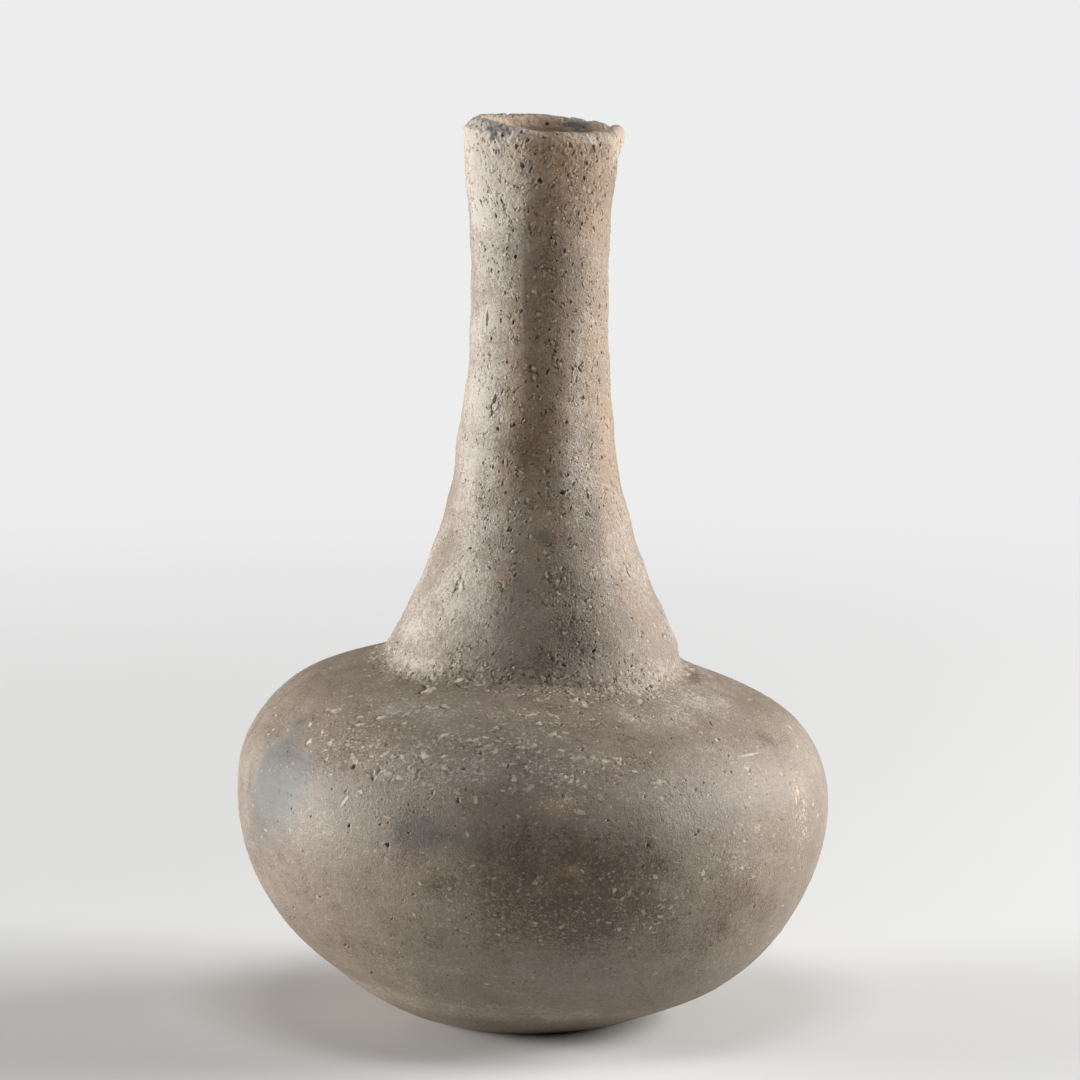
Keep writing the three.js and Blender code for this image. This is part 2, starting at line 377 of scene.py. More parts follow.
def towards(dent, right, up, degrees):
    """How far each point lies towards one side of a mark: 1 on its edge there and -1 on the edge opposite."""
    angle = math.radians(degrees)
    return (right * math.cos(angle) + up * math.sin(angle)) / (0.5 * max(dent.wide, dent.tall))


def shard(skin, at, right, up, dent, seed, rough=SHARD_ROUGH):
    """How far each point is from the middle of an angular chip: 0 there and 1 on its edge."""
    rng = np.random.default_rng(seed)
    across, along = leaned(dent, right, up)
    away = np.zeros(across.shape, np.float32)
    for side in range(SHARD_SIDES):
        facing = 2 * math.pi * (side + rng.uniform(-SHARD_TURN, SHARD_TURN)) / SHARD_SIDES
        reach = rng.uniform(*SHARD_REACH)
        away = np.maximum(away, (across * math.cos(facing) + along * math.sin(facing)) / reach)
    return away * (1 + rough * noise(skin.points[at], SHARD_GRAIN * math.sqrt(dent.wide * dent.tall), seed))


def press(skin, dent, path, seed, shade=PIT_SHADE):
    """Presses a pit into the skin: deep and dark with painted shade on one side, shallow with a pale rim of
    painted highlight on the other.
    """
    at, right, up = near_mark(skin, dent, path)
    away = shard(skin, at, right, up, dent, seed)
    side = towards(dent, right, up, GOLDEN_ANGLE * seed)
    tilt = smooth(max(dent.wide, dent.tall), *TILTED_PIT)
    deep = 1 - tilt * (1 - np.clip(TILT_MIDDLE + TILT_SLOPE * side, TILT_LEAST, 1.0))
    rim = smooth(away, *RIM_START) * (1 - smooth(away, *RIM_END))
    skin.relief[at] -= dent.depth * deep * (1 - smooth(away, *PIT_FLOOR))
    skin.relief[at] += PIT_RIM * rim
    # Painted highlight on the pit's rim.
    skin.masks["tone_and_painted_light"][at] += RIM_PAINTED_LIGHT * dent.depth * rim
    # Painted shade in the deep part of the pit.
    dark = shade * (1 - smooth(away, *PIT_DARK)) * smooth(deep, *TILT_DARK)
    skin.masks["pit_shade"][at] = np.maximum(skin.masks["pit_shade"][at], dark)


def whiten(skin, at, nearness, pale, least=0.0):
    """Gives points the paleness of a chip, unless another chip is nearer to them."""
    nearest = nearness > np.maximum(skin.masks["flake"][at], least)
    skin.masks["pale"][at] = np.where(nearest, pale, skin.masks["pale"][at])
    skin.masks["flake"][at] = np.maximum(skin.masks["flake"][at], nearness)


def lodge(skin, dent, path, seed, pale, high_side=None):
    """Sets a pale grain of temper into the skin, tilted, with a crevice along its low side that carries
    painted shade.
    """
    at, right, up = near_mark(skin, dent, path)
    away = shard(skin, at, right, up, dent, seed, GRAIN_ROUGH)
    side = towards(dent, right, up, GOLDEN_ANGLE * seed if high_side is None else high_side)
    chip = (1 - smooth(away, *CHIP_EDGE)) * (0.5 + 0.5 * np.clip(side, -1, 1))
    crevice = smooth(away, *CREVICE_START) * (1 - smooth(away, *CREVICE_END)) * smooth(-side, *CREVICE_SIDE)
    skin.relief[at] += dent.depth * (chip - CREVICE_DEPTH * crevice)
    whiten(skin, at, np.clip(1 - away / 2, 0, 1), pale, CHIP_LEAST)
    # Painted shade in the crevice.
    skin.masks["pit_shade"][at] = np.maximum(skin.masks["pit_shade"][at], CREVICE_SHADE * crevice)


def score(skin, dent, path, pale):
    """Draws a pale scratch."""
    reach = SCRATCH_REACH * max(dent.wide, dent.tall) + SCRATCH_MARGIN
    at, right, up = skin.window(dent.turn, path, reach)
    across, along = leaned(dent, right, up)
    nearness = np.clip(1 - np.maximum(np.abs(across), np.abs(along)) / 2, 0, 1)
    skin.relief[at] -= dent.depth * smooth(nearness, *SCRATCH_EDGE)
    whiten(skin, at, nearness, pale)


def spread(skin, patch, path, seed, rough=PATCH_ROUGH):
    """The points near a patch, and how far each is from its middle: 0 there and 1 on its uneven edge."""
    at, right, up = skin.window(patch.turn, path, PATCH_REACH * max(patch.wide, patch.tall))
    away = np.hypot(right / patch.wide, up / patch.tall)
    return at, away * (1 + rough * noise(skin.points[at], PATCH_GRAIN * min(patch.wide, patch.tall), seed))


def dab(skin, mask, patch, path, seed):
    """Adds a soft-edged patch to a mask."""
    at, away = spread(skin, patch, path, seed)
    skin.masks[mask][at] += patch.strength * (1 - smooth(away, 1 - PATCH_SOFT, PATCH_END))


def lift(skin, patch, path, seed, rough, end):
    """Lifts a soft-edged patch of the skin, or sinks it."""
    at, away = spread(skin, patch, path, seed, rough)
    skin.relief[at] += patch.strength * (1 - smooth(away, 0, end))


# Broad forms of the wall

SWELLS = [
    Patch(-8, 238, 5, 12, 0.3),
    Patch(-90, 163, 26, 11, 0.9),
    Patch(76, 153, 12, 8, -0.7),
    Patch(-80, 88, 40, 12, -0.9),
    Patch(75, 40, 45, 22, -0.9),
    Patch(80, 84, 34, 9, 0.7),
    Patch(82, 99, 16, 4.5, -2.6),
    Patch(-150, 70, 60, 30, -0.9),
    Patch(150, 55, 50, 30, 0.7),
    Patch(175, 150, 25, 18, 0.6),
]
SWELL_END = 1.5
NECK_BLEND, NECK_TOP = (-2.0, 14.0), (205, 240)
NECK_FACETS, FACET_DEPTH, FACET_FADE, FACET_SHARE = 11, 0.16, 0.6, 0.7
FACET_DRIFT, FACET_VARY = Bumps(8.0, 60, 32), Bumps(0.6, 40, 31)
RIDGE_TURN, RIDGE_HEIGHT, RIDGE_WIDTH, RIDGE_EDGE, RIDGE_DRIFT = -12.0, 0.3, 3.5, 0.5, 0.4
RIDGE_START, RIDGE_END = (165, 195), (222, 240)
COIL_RIPPLE, RIPPLE_DRIFT = 0.14, Bumps(2.0, 45, 41)
SEAT_FADE, FOOT_ZONE, FOOT_LUMPS = 9.0, 6.0, Bumps(0.16, 3.2, 53, 2)

# Layers of bumps: their size, and their height on the body with what the neck and its top add to it
Layer = namedtuple("Layer", "size seed body neck top")
WALL_WAVES = [Layer(55, 21, 0.5, -0.25, 0), Layer(18, 22, 0.14, 0.02, 0)]
WALL_GRAIN = [
    Layer(4.5, 51, 0.03, 0.03, 0.08), Layer(1.9, 52, 0.012, 0.012, 0.05), Layer(1.0, 54, 0.008, 0.012, 0.04),
]


def neck_share(skin):
    """0 on the body and 1 on the neck, row by row."""
    below, above = NECK_BLEND
    return smooth(skin.height, NECK_FOOT_HEIGHT + below, NECK_FOOT_HEIGHT + above)[:, None]


def near_foot(skin):
    """1 along the foot of the neck and 0 away from it, row by row."""
    return np.exp(-((skin.section.run - OUTLINE.foot) / FOOT_ZONE) ** 2)[:, None]


def add_layers(skin, layers):
    """Adds layers of noise to the relief."""
    neck, top = neck_share(skin), smooth(skin.height, *NECK_TOP)[:, None]
    for layer in layers:
        height = layer.body + layer.neck * neck + layer.top * top
        skin.relief += noise(skin.points, layer.size, layer.seed) * height


def swell(skin):
    """The broad unevenness of a wall built by hand."""
    for number, patch in enumerate(SWELLS):
        lift(skin, patch, skin.path_at(patch.turn, patch.height), number, 0.0, SWELL_END)
    add_layers(skin, WALL_WAVES)


def facet(skin):
    """Soft flats that a scraper left down the neck, and one clear ridge in its upper part."""
    height = skin.height[:, None]
    drift = bumps(skin.points, FACET_DRIFT)
    flat = 0.5 + 0.5 * np.cos(np.radians((skin.turn + drift) * NECK_FACETS))
    fade = neck_share(skin) * (1 - FACET_FADE * smooth(height, *NECK_TOP))
    skin.relief -= FACET_DEPTH * flat * fade * (FACET_SHARE + bumps(skin.points, FACET_VARY))
    away = np.radians(skin.turn - RIDGE_TURN + RIDGE_DRIFT * drift) * skin.radius[:, None]
    ridge = np.exp(-(np.hypot(away, RIDGE_EDGE) - RIDGE_EDGE) / RIDGE_WIDTH)
    outside = (skin.section.side == "outside")[:, None]
    upper = smooth(height, *RIDGE_START) * (1 - smooth(height, *RIDGE_END))
    skin.relief += RIDGE_HEIGHT * ridge * (upper * outside)


def ripple(skin):
    """The soft swelling of each coil of the neck."""
    pitch = (OUTLINE.mouth - LIP_COIL_HEIGHT - OUTLINE.foot) / NECK_COILS
    turns = (skin.section.run[:, None] - OUTLINE.foot) / pitch
    wave = np.cos(2 * math.pi * turns + bumps(skin.points, RIPPLE_DRIFT))
    skin.relief += COIL_RIPPLE * wave * neck_share(skin)


def roughen(skin):
    """Lumps and grain that the hands and the temper left."""
    add_layers(skin, WALL_GRAIN)
    skin.relief += bumps(skin.points, FOOT_LUMPS) * near_foot(skin)


# Pits, chips and scratches that show from the front. Chips and scratches go with their paleness

DENTS = [
    Dent(-13, 240, 1.8, 3.0, 1.2, 12), Dent(-7, 238.8, 1.6, 2.8, 0.6, -28),
    Dent(-0.5, 235.7, 2.0, 2.3, 1.0, 20), Dent(35, 235.8, 1.2, 1.8, 0.7, 10),
    Dent(-54, 228.8, 1.2, 2.2, 0.6, 15), Dent(-32, 230, 0.8, 1.8, 0.5), Dent(-38, 225.2, 1.0, 1.4, 0.6),
    Dent(-42, 217.1, 0.8, 1.0, 0.5), Dent(-27, 217.3, 0.7, 3.0, 0.5, -12), Dent(32, 226.2, 0.9, 2.4, 0.6),
    Dent(36, 223.2, 0.9, 1.9, 0.6, 20), Dent(21, 237.2, 0.9, 1.2, 0.5), Dent(61, 230.5, 0.8, 2.2, 0.5),
    Dent(9, 220.1, 0.9, 1.4, 0.5), Dent(38, 206.5, 0.7, 3.4, 0.5, 20), Dent(10, 205.1, 1.0, 1.2, 0.5),
    Dent(-49, 197, 1.0, 7.0, 0.7, -6), Dent(-34, 196.9, 1.1, 1.5, 0.6), Dent(-22, 196.6, 0.8, 2.8, 0.7),
    Dent(-2, 192.6, 1.0, 4.0, 0.6, -35), Dent(8, 194.8, 1.0, 1.1, 0.5), Dent(13, 188.7, 0.8, 1.3, 0.5),
    Dent(-27, 185.6, 1.0, 1.4, 0.6), Dent(35, 183.2, 0.9, 3.6, 0.6, 35),
    Dent(57, 179.6, 0.8, 2.2, 0.5, 20), Dent(38, 175.6, 1.1, 2.1, 0.6),
    Dent(-37, 174.6, 1.7, 4.2, 0.9, -8), Dent(2, 171.8, 1.0, 1.0, 0.5), Dent(22, 169.4, 1.3, 1.5, 0.7),
    Dent(-19, 168.4, 1.0, 1.9, 0.7), Dent(-33, 167.3, 1.2, 1.5, 0.6), Dent(21, 155, 1.0, 1.4, 0.6),
    Dent(16, 150.4, 2.7, 2.3, 1.0), Dent(36, 148.7, 1.1, 2.3, 0.7, 10), Dent(-18, 140.5, 1.2, 1.2, 0.6),
    Dent(-34, 140.6, 1.1, 1.2, 0.6), Dent(-42, 134.6, 1.7, 1.4, 0.6), Dent(-45, 125.1, 1.1, 3.0, 0.6),
    Dent(-48, 115.4, 1.2, 1.4, 0.7), Dent(24, 108.6, 1.3, 1.1, 0.6), Dent(10, 105.4, 2.9, 1.2, 0.8, -15),
    Dent(45, 97.8, 2.2, 1.6, 0.8), Dent(14, 97.4, 1.5, 1.8, 0.7), Dent(29, 93.1, 1.3, 1.8, 0.7),
    Dent(-16, 94.7, 1.0, 1.4, 0.5), Dent(-12, 87.5, 1.3, 1.4, 0.6), Dent(-15, 83.7, 2.4, 1.0, 0.5, 12),
    Dent(-6, 84.5, 1.1, 1.4, 0.6), Dent(-39, 81.9, 2.2, 1.7, 0.8, 35),
    Dent(-33, 81.3, 1.1, 3.8, 0.8, -10), Dent(46, 82.5, 1.2, 1.2, 0.6), Dent(-15, 76, 0.9, 2.0, 0.8, 15),
    Dent(-28, 62.5, 1.4, 2.3, 1.0, 22), Dent(-24, 66.5, 1.3, 1.0, 0.7), Dent(-37, 66.4, 0.9, 1.3, 0.7),
    Dent(-47, 67.1, 1.0, 1.0, 0.6), Dent(-53, 68, 1.3, 1.0, 0.6), Dent(-30, 68.2, 0.8, 1.2, 0.5),
    Dent(14, 70.8, 1.0, 1.0, 0.6), Dent(22, 63.3, 1.3, 1.4, 0.9), Dent(36, 77.5, 0.9, 0.9, 0.5),
    Dent(22, 76, 1.2, 1.0, 0.6), Dent(32, 64.8, 1.0, 1.2, 0.6), Dent(14, 55.7, 1.0, 0.9, 0.6),
    Dent(-46, 44.4, 1.0, 1.8, 0.6, 22), Dent(-58, 38.7, 1.8, 1.0, 0.6, -28),
    Dent(-28, 41.7, 0.9, 1.0, 0.5), Dent(-6, 45.4, 1.0, 0.9, 0.5), Dent(2, 27.2, 1.0, 0.9, 0.5),
    Dent(42, 35.6, 0.9, 1.0, 0.5),
]
SCRATCHES = [(Dent(53, 81.5, 9.6, 0.75, 0.05, -1), 0.75), (Dent(17, 125.8, 0.5, 9.0, 0.1, -4), 0.2)]
CHIPS = [
    (Dent(58, 126.6, 2.0, 2.4, 0.3), 0.4), (Dent(44, 97.5, 3.0, 1.9, 0.35, 10), 0.6),
    (Dent(-36.0, 98.8, 5.2, 5.0, 0.3, 15), 1.0), (Dent(-42, 124.9, 4.2, 4.8, 0.5), 0.6),
    (Dent(67, 65.0, 1.4, 3.0, 0.1, 10), 0.6), (Dent(66.5, 58.5, 1.6, 2.0, 0.1, -10), 0.5),
    (Dent(64, 69.4, 1.6, 3.0, 0.1), 0.8), (Dent(48, 63.7, 1.6, 1.6, 0.15), 0.6),
    (Dent(-36, 173.6, 3.0, 4.0, 0.3), 0.25),
]
FLAKES = [
    Patch(-24, 86, 1.9, 1.2, 1.0), Patch(-48, 86.2, 1.2, 0.9, 1.0), Patch(-44, 91.4, 1.4, 1.0, 0.9),
    Patch(-58, 89.1, 1.1, 0.8, 0.9), Patch(-56, 96, 1.0, 1.1, 0.9), Patch(-2, 95, 2.2, 0.9, 1.0),
    Patch(-10, 92.8, 1.2, 0.9, 0.9), Patch(5, 88.2, 1.3, 0.8, 0.9), Patch(18, 85.1, 1.4, 1.0, 0.9),
    Patch(46, 86.4, 1.0, 0.9, 0.9), Patch(30, 128, 1.1, 1.2, 0.6),
]
DENT_SCALE, WIDE_PIT, LIP_PIT_SHADE = 0.9, 1.6, 0.5
CHIP_HIGH_SIDE = 0
FLAKE_RISE, FLAKE_LEAN = 0.12, 20
DENT_SEED, CHIP_SEED, LIP_DENT_SEED, FLAKE_SEED = 300, 350, 400, 600


def mark(skin):
    """The larger pits and cracks, and a few pale scratches and chips."""
    for dent, pale in SCRATCHES:
        score(skin, dent, skin.path_at(dent.turn, dent.height), pale)
    for number, (dent, pale) in enumerate(CHIPS):
        lodge(skin, dent, skin.path_at(dent.turn, dent.height), CHIP_SEED + number, pale, CHIP_HIGH_SIDE)
    for number, dent in enumerate(DENTS):
        sharp = dent._replace(wide=dent.wide * DENT_SCALE, tall=dent.tall * DENT_SCALE)
        shade = PIT_SHADE * min(1.0, WIDE_PIT / max(dent.wide, dent.tall))
        press(skin, sharp, skin.path_at(dent.turn, dent.height), DENT_SEED + number, shade)
    for number, dent in enumerate(LIP_DENTS):
        press(skin, dent, OUTLINE.mouth + dent.height, LIP_DENT_SEED + number, LIP_PIT_SHADE)


def flake(skin):
    """Flakes of temper on the shoulder, one by one."""
    for number, patch in enumerate(FLAKES):
        lean = FLAKE_LEAN * (number % 3 - 1)
        dent = Dent(patch.turn, 0, 2 * patch.wide, 2 * patch.tall, FLAKE_RISE, lean)
        lodge(skin, dent, skin.path_at(patch.turn, patch.height), FLAKE_SEED + number, patch.strength)


# Pits and grains that are strewn: sizes in millimetres, with small ones more common by a power

Strewn = namedtuple("Strewn", "least most power stretch depth lean seed")
PIT = Strewn(0.4, 1.2, 3, (1.0, 2.4), (0.15, 0.5), 30, 900)
NECK_GRAIN = Strewn(0.5, 1.5, 2.2, (0.8, 1.8), (0.08, 0.26), 40, 2000)
BODY_GRAIN = Strewn(0.5, 2.0, 3.6, (1.2, 3.0), (0.03, 0.16), 35, 4000)
NECK_PITS, LIP_PITS, FOOT_PITS, BODY_PITS = 1600, 160, 140, 1400
NECK_GRAINS, LIP_GRAINS, FOOT_GRAINS, BODY_GRAINS = 3200, 380, 900, 16000
NECK_GRAIN_PALE, BODY_GRAIN_PALE, SHADE_POWER = (0.0, 0.6), (0.3, 1.0), 2.5
UPPER_BODY = 58, 82
LOW_GRAIN_SIZE, HIGH_GRAIN_SIZE, LOW_GRAIN_PALE, HIGH_GRAIN_PALE = 0.65, 0.4, 0.6, 0.4
BODY_START, NECK_START = 4.0, 1.0
LIP_ZONE, FOOT_BELOW, FOOT_ABOVE = 24.0, 7.0, 4.0
RUBBED = [Patch(-48, 121, 17, 22, 0.85), Patch(60, 126, 16, 24, 0.7), Patch(-62, 180, 9, 60, 0.5)]
RUBBED_START, RUBBED_END = 0.5, 1.2
RUBBED_SEED, SCATTER_SEED = 880, 8


def rubbed(skin):
    """The share of pits and grains that the potter's hand rubbed away, point by point."""
    share = np.zeros(skin.relief.shape, np.float32)
    for number, patch in enumerate(RUBBED):
        at, away = spread(skin, patch, skin.path_at(patch.turn, patch.height), RUBBED_SEED + number)
        share[at] = np.maximum(share[at], patch.strength * (1 - smooth(away, RUBBED_START, RUBBED_END)))
    return share


def anywhere(rng, skin, count, low, high):
    """Rows and columns of places strewn evenly over the outside between two lengths along the outline."""
    run = skin.section.run[skin.outside]
    rows = skin.outside[(run >= low) & (run < high)]
    size = np.gradient(skin.section.run[rows]) * skin.radius[rows]
    return rng.choice(rows, count, p=size / size.sum()), rng.integers(0, AROUND, count)


def places(rng, skin, zones):
    """The numbers, rows and columns of places strewn over zones, each given as a count and its two ends."""
    for count, (low, high) in zones:
        for number, (row, column) in enumerate(zip(*anywhere(rng, skin, count, low, high))):
            yield number, row, column


def sized(rng, kind):
    """A size, more often small than large."""
    return kind.least + (kind.most - kind.least) * rng.random() ** kind.power


def strew_pits(rng, skin, zones, gone):
    """Pits where temper has fallen out of the clay. Their depth is a share of their size."""
    for number, row, column in places(rng, skin, zones):
        if rng.random() < gone[row, column]:
            continue
        size = sized(rng, PIT)
        depth = size * rng.uniform(*PIT.depth)
        tall = size * rng.uniform(*PIT.stretch)
        dent = Dent(skin.turn[column], 0, size, tall, depth, rng.normal(0, PIT.lean))
        press(skin, dent, skin.section.path[row], PIT.seed + number, PIT_SHADE * rng.random() ** SHADE_POWER)


def strew_neck_grains(rng, skin, zones, gone):
    """Grains of temper that show on the neck. They are longer along it than round it."""
    for number, row, column in places(rng, skin, zones):
        if rng.random() < gone[row, column]:
            continue
        size = sized(rng, NECK_GRAIN)
        tall = size * rng.uniform(*NECK_GRAIN.stretch)
        rise = rng.uniform(*NECK_GRAIN.depth)
        dent = Dent(skin.turn[column], 0, size, tall, rise, rng.normal(0, NECK_GRAIN.lean))
        lodge(skin, dent, skin.section.path[row], NECK_GRAIN.seed + number, rng.uniform(*NECK_GRAIN_PALE))


def strew_body_grains(rng, skin, zones):
    """Grains of temper that show on the body. They are longer round it, and larger and paler high up."""
    for number, row, column in places(rng, skin, zones):
        if rng.random() > skin.masks["temper"][row, column]:
            continue
        high = smooth(skin.height[row], *UPPER_BODY)
        size = sized(rng, BODY_GRAIN) * (LOW_GRAIN_SIZE + HIGH_GRAIN_SIZE * high)
        wide = size * rng.uniform(*BODY_GRAIN.stretch)
        rise = rng.uniform(*BODY_GRAIN.depth)
        dent = Dent(skin.turn[column], 0, wide, size, rise, rng.normal(0, BODY_GRAIN.lean))
        pale = rng.uniform(*BODY_GRAIN_PALE) * (LOW_GRAIN_PALE + HIGH_GRAIN_PALE * high)
        lodge(skin, dent, skin.section.path[row], BODY_GRAIN.seed + number, pale)


def scatter(skin):
    """Pits, and grains of temper: most on the neck and shoulder."""
    rng = np.random.default_rng(SCATTER_SEED)
    body, neck = (BODY_START, OUTLINE.foot), (OUTLINE.foot + NECK_START, OUTLINE.mouth)
    lip = (OUTLINE.mouth - LIP_ZONE, OUTLINE.mouth)
    foot = (OUTLINE.foot - FOOT_BELOW, OUTLINE.foot + FOOT_ABOVE)
    gone = rubbed(skin)
    pits = [(NECK_PITS, neck), (LIP_PITS, lip), (FOOT_PITS, foot), (BODY_PITS, body)]
    strew_pits(rng, skin, pits, gone)
    strew_neck_grains(rng, skin, [(NECK_GRAINS, neck), (LIP_GRAINS, lip), (FOOT_GRAINS, foot)], gone)
    strew_body_grains(rng, skin, [(BODY_GRAINS, body)])


# Zones of colour: clouds of the fire, paler and darker clay with painted light and shade among it, pink clay
# and clay that is rich in temper

CLOUDS = [
    Patch(-54, 73, 10, 10, 0.7), Patch(-60, 77, 15, 16, 1.0), Patch(-64, 66, 12, 15, 0.9),
    Patch(-22, 67, 10, 7, 0.9), Patch(-12, 66, 12, 6, 0.45), Patch(3, 139, 4, 3, 0.7),
    Patch(140, 70, 24, 16, 0.9), Patch(-140, 50, 18, 22, 0.8), Patch(170, 150, 14, 20, 0.6),
]
# Several of these patches are painted light and shade: darker down the middle of the belly's front and of the
# neck, where the side lamps reach least; a darker band beside the neck's ridge; paler on the neck's left side
# and near its top, where the left lamp reaches; paler at the left foot of the neck; and paler round the
# bottom, where the floor throws light up. The others are paler and darker clay.
TONES_AND_PAINTED_LIGHT = [
    Patch(-74, 58, 14, 24, -0.3), Patch(-37, 71, 10, 14, -0.25), Patch(62, 81, 14, 8, -0.6),
    Patch(-42, 84, 12, 7, -0.35), Patch(-28, 74, 9, 7, -0.3), Patch(-44, 63, 18, 11, 0.6),
    Patch(-52, 90, 16, 7, -0.4), Patch(-55, 172, 13, 80, 0.55), Patch(-50, 236, 13, 18, 1.6),
    Patch(-50, 116, 18, 20, 0.45), Patch(54, 94, 38, 16, 0.4), Patch(38, 93, 24, 9, 0.3),
    Patch(28, 172, 8, 44, 0.5), Patch(-26, 62, 12, 8, -0.35), Patch(-8, 160, 12, 44, -0.3),
    Patch(22, 40, 30, 14, -0.45), Patch(-20, 12, 60, 8, 0.8), Patch(-44, 22, 18, 8, 0.6),
    Patch(3, 105, 30, 6, -0.4), Patch(62, 232, 12, 22, -0.8), Patch(24, 240, 8, 6, -0.5),
    Patch(-32, 95, 22, 8, 0.55), Patch(-62, 102, 14, 7, 0.4), Patch(26, 215, 7, 26, -0.4),
    Patch(4, 226, 9, 12, -0.5), Patch(-66, 82, 16, 16, -0.4), Patch(-62, 50, 16, 12, -0.4),
    Patch(-15, 231, 7, 16, 1.0), Patch(-18, 240, 9, 8, 1.0), Patch(-18, 160, 6, 14, -0.8),
    Patch(-13, 158, 7, 16, -0.5), Patch(-4, 170, 9, 24, -0.3), Patch(20, 128, 12, 24, -0.9),
    Patch(-64, 130, 8, 16, -0.7), Patch(-40, 128, 12, 20, 0.35), Patch(24, 111, 12, 11, -0.6),
    Patch(-14, 36, 22, 12, -0.35), Patch(14, 46, 22, 10, -0.4), Patch(46, 120, 18, 14, -0.15),
    Patch(-46, 82, 16, 8, -0.3), Patch(-14, 84, 22, 6, 0.35), Patch(-25, 120, 7, 12, 0.35),
    Patch(6, 53, 36, 22, -1.3), Patch(20, 60, 18, 12, -0.5), Patch(5, 192, 9, 64, -1.15),
    Patch(180, 170, 44, 90, -0.5), Patch(110, 180, 30, 90, -0.3), Patch(4, 118, 14, 20, -0.7),
    Patch(46, 40, 28, 15, -0.45), Patch(-22, 67, 10, 7, -0.6), Patch(-58, 77, 14, 16, -0.3),
    Patch(70, 243, 8, 8, 0.9),
]
PINKS = [
    Patch(-22, 127.6, 3.4, 2.4, 0.6), Patch(4, 75.3, 7, 3, 0.55), Patch(18, 83.5, 2, 1.6, 0.6),
    Patch(64, 69.4, 1.6, 2, 0.8), Patch(48, 63.7, 1.8, 1.6, 0.8), Patch(8, 57.5, 3, 2, 0.5),
    Patch(60, 180, 14, 75, 0.5), Patch(40, 232, 14, 20, 0.35), Patch(10, 241, 18, 7, 0.55),
    Patch(0, 180, 12, 70, 0.4), Patch(0, 232, 16, 14, 0.3), Patch(62, 62, 26, 26, 0.15),
    Patch(0, 50, 40, 22, 0.2),
]
TEMPERS = [
    Patch(46, 70.3, 5, 3, 0.7), Patch(42, 66, 4, 2, 0.7), Patch(65, 60, 4, 8, 0.8),
    Patch(44, 54.5, 7, 3, 0.8), Patch(36, 58.5, 4, 3, 0.6), Patch(49, 50.4, 4, 3, 0.7),
    Patch(20, 53, 8, 4, 0.5), Patch(4, 75.5, 8, 3, 0.8), Patch(8, 57, 7, 3, 0.7),
    Patch(-20, 96, 36, 8, 0.6), Patch(16, 94, 24, 8, 0.5), Patch(-38, 88, 26, 13, 0.7),
    Patch(-53, 90, 14, 9, 0.4), Patch(-60, 101, 12, 4, 0.6), Patch(-8, 87, 30, 13, 0.9),
    Patch(14, 83, 18, 10, 0.5), Patch(-24, 79, 16, 5, 0.5), Patch(12, 46, 32, 15, 0.5),
    Patch(-9, 48, 26, 14, 0.5), Patch(42, 56, 20, 14, 0.2), Patch(66, 62, 10, 14, 0.35),
    Patch(46, 94, 14, 6, 0.3), Patch(150, 86, 44, 12, 0.8), Patch(-120, 84, 26, 10, 0.6),
    Patch(178, 52, 40, 14, 0.35),
]
ZONE_SEED, ZONE_SEED_STEP = 500, 20
TEMPER_BODY, TEMPER_NECK, TEMPER_FOOT = 0.05, -0.02, 0.5
PATCHY, PATCHY_MIDDLE, PATCHY_LEAST = Bumps(0.6, 16, 61, 2), 0.8, 0.2
UNEVEN_TONE, TONE_BODY, TONE_NECK = Bumps(0.4, 34, 62, 2), -0.2, 0.65
BASE_PINK, BASE_PINK_END = 0.2, (4, 26)
# The inside is pink clay, and painted light makes it paler where the lamps reach little.
INSIDE_PINK, INSIDE_PAINTED_LIGHT = 0.7, 2.0


def colour(skin):
    """Where the clay is paler, darker, clouded by the fire or rich in temper, with painted light and shade in
    its tone.
    """
    zones = (("cloud", CLOUDS), ("tone_and_painted_light", TONES_AND_PAINTED_LIGHT), ("pink", PINKS), ("temper", TEMPERS))
    for zone, (mask, patches) in enumerate(zones):
        for number, patch in enumerate(patches):
            path = skin.path_at(patch.turn, patch.height)
            dab(skin, mask, patch, path, ZONE_SEED + ZONE_SEED_STEP * zone + number)
    neck = neck_share(skin)
    patchy = np.clip(PATCHY_MIDDLE + bumps(skin.points, PATCHY), PATCHY_LEAST, 1)
    rich = TEMPER_BODY + TEMPER_NECK * neck + TEMPER_FOOT * near_foot(skin)
    skin.masks["temper"] = (rich + skin.masks["temper"]) * patchy
    skin.masks["neck"] += neck
    skin.masks["along"] += skin.section.run[:, None]
    skin.masks["tone_and_painted_light"] += bumps(skin.points, UNEVEN_TONE) + TONE_BODY + TONE_NECK * neck
    outside = (skin.section.side == "outside")[:, None]
    skin.masks["pink"] += BASE_PINK * (1 - smooth(skin.height[:, None], *BASE_PINK_END)) * outside
    # Painted light: the inside is made paler, as well as pink.
    inside = np.isin(skin.section.side, ("inside", "floor"))[:, None]
    skin.masks["pink"] += INSIDE_PINK * inside
    skin.masks["tone_and_painted_light"] += INSIDE_PAINTED_LIGHT * inside


def settle(skin):
    """Keeps the masks between 0 and 1, and the seat flat."""
    for name in ("cloud", "pink", "pit_shade", "temper", "flake"):
        np.clip(skin.masks[name], 0, 1, out=skin.masks[name])
    outside = np.isin(skin.section.side, ("seat", "outside"))
    skin.relief[outside] *= smooth(skin.section.run[outside], 0, SEAT_FADE)[:, None]


# The lip. Heights here are lengths over it: 0 at its outer edge, 4.7 on its crest and 9.4 at its inner edge

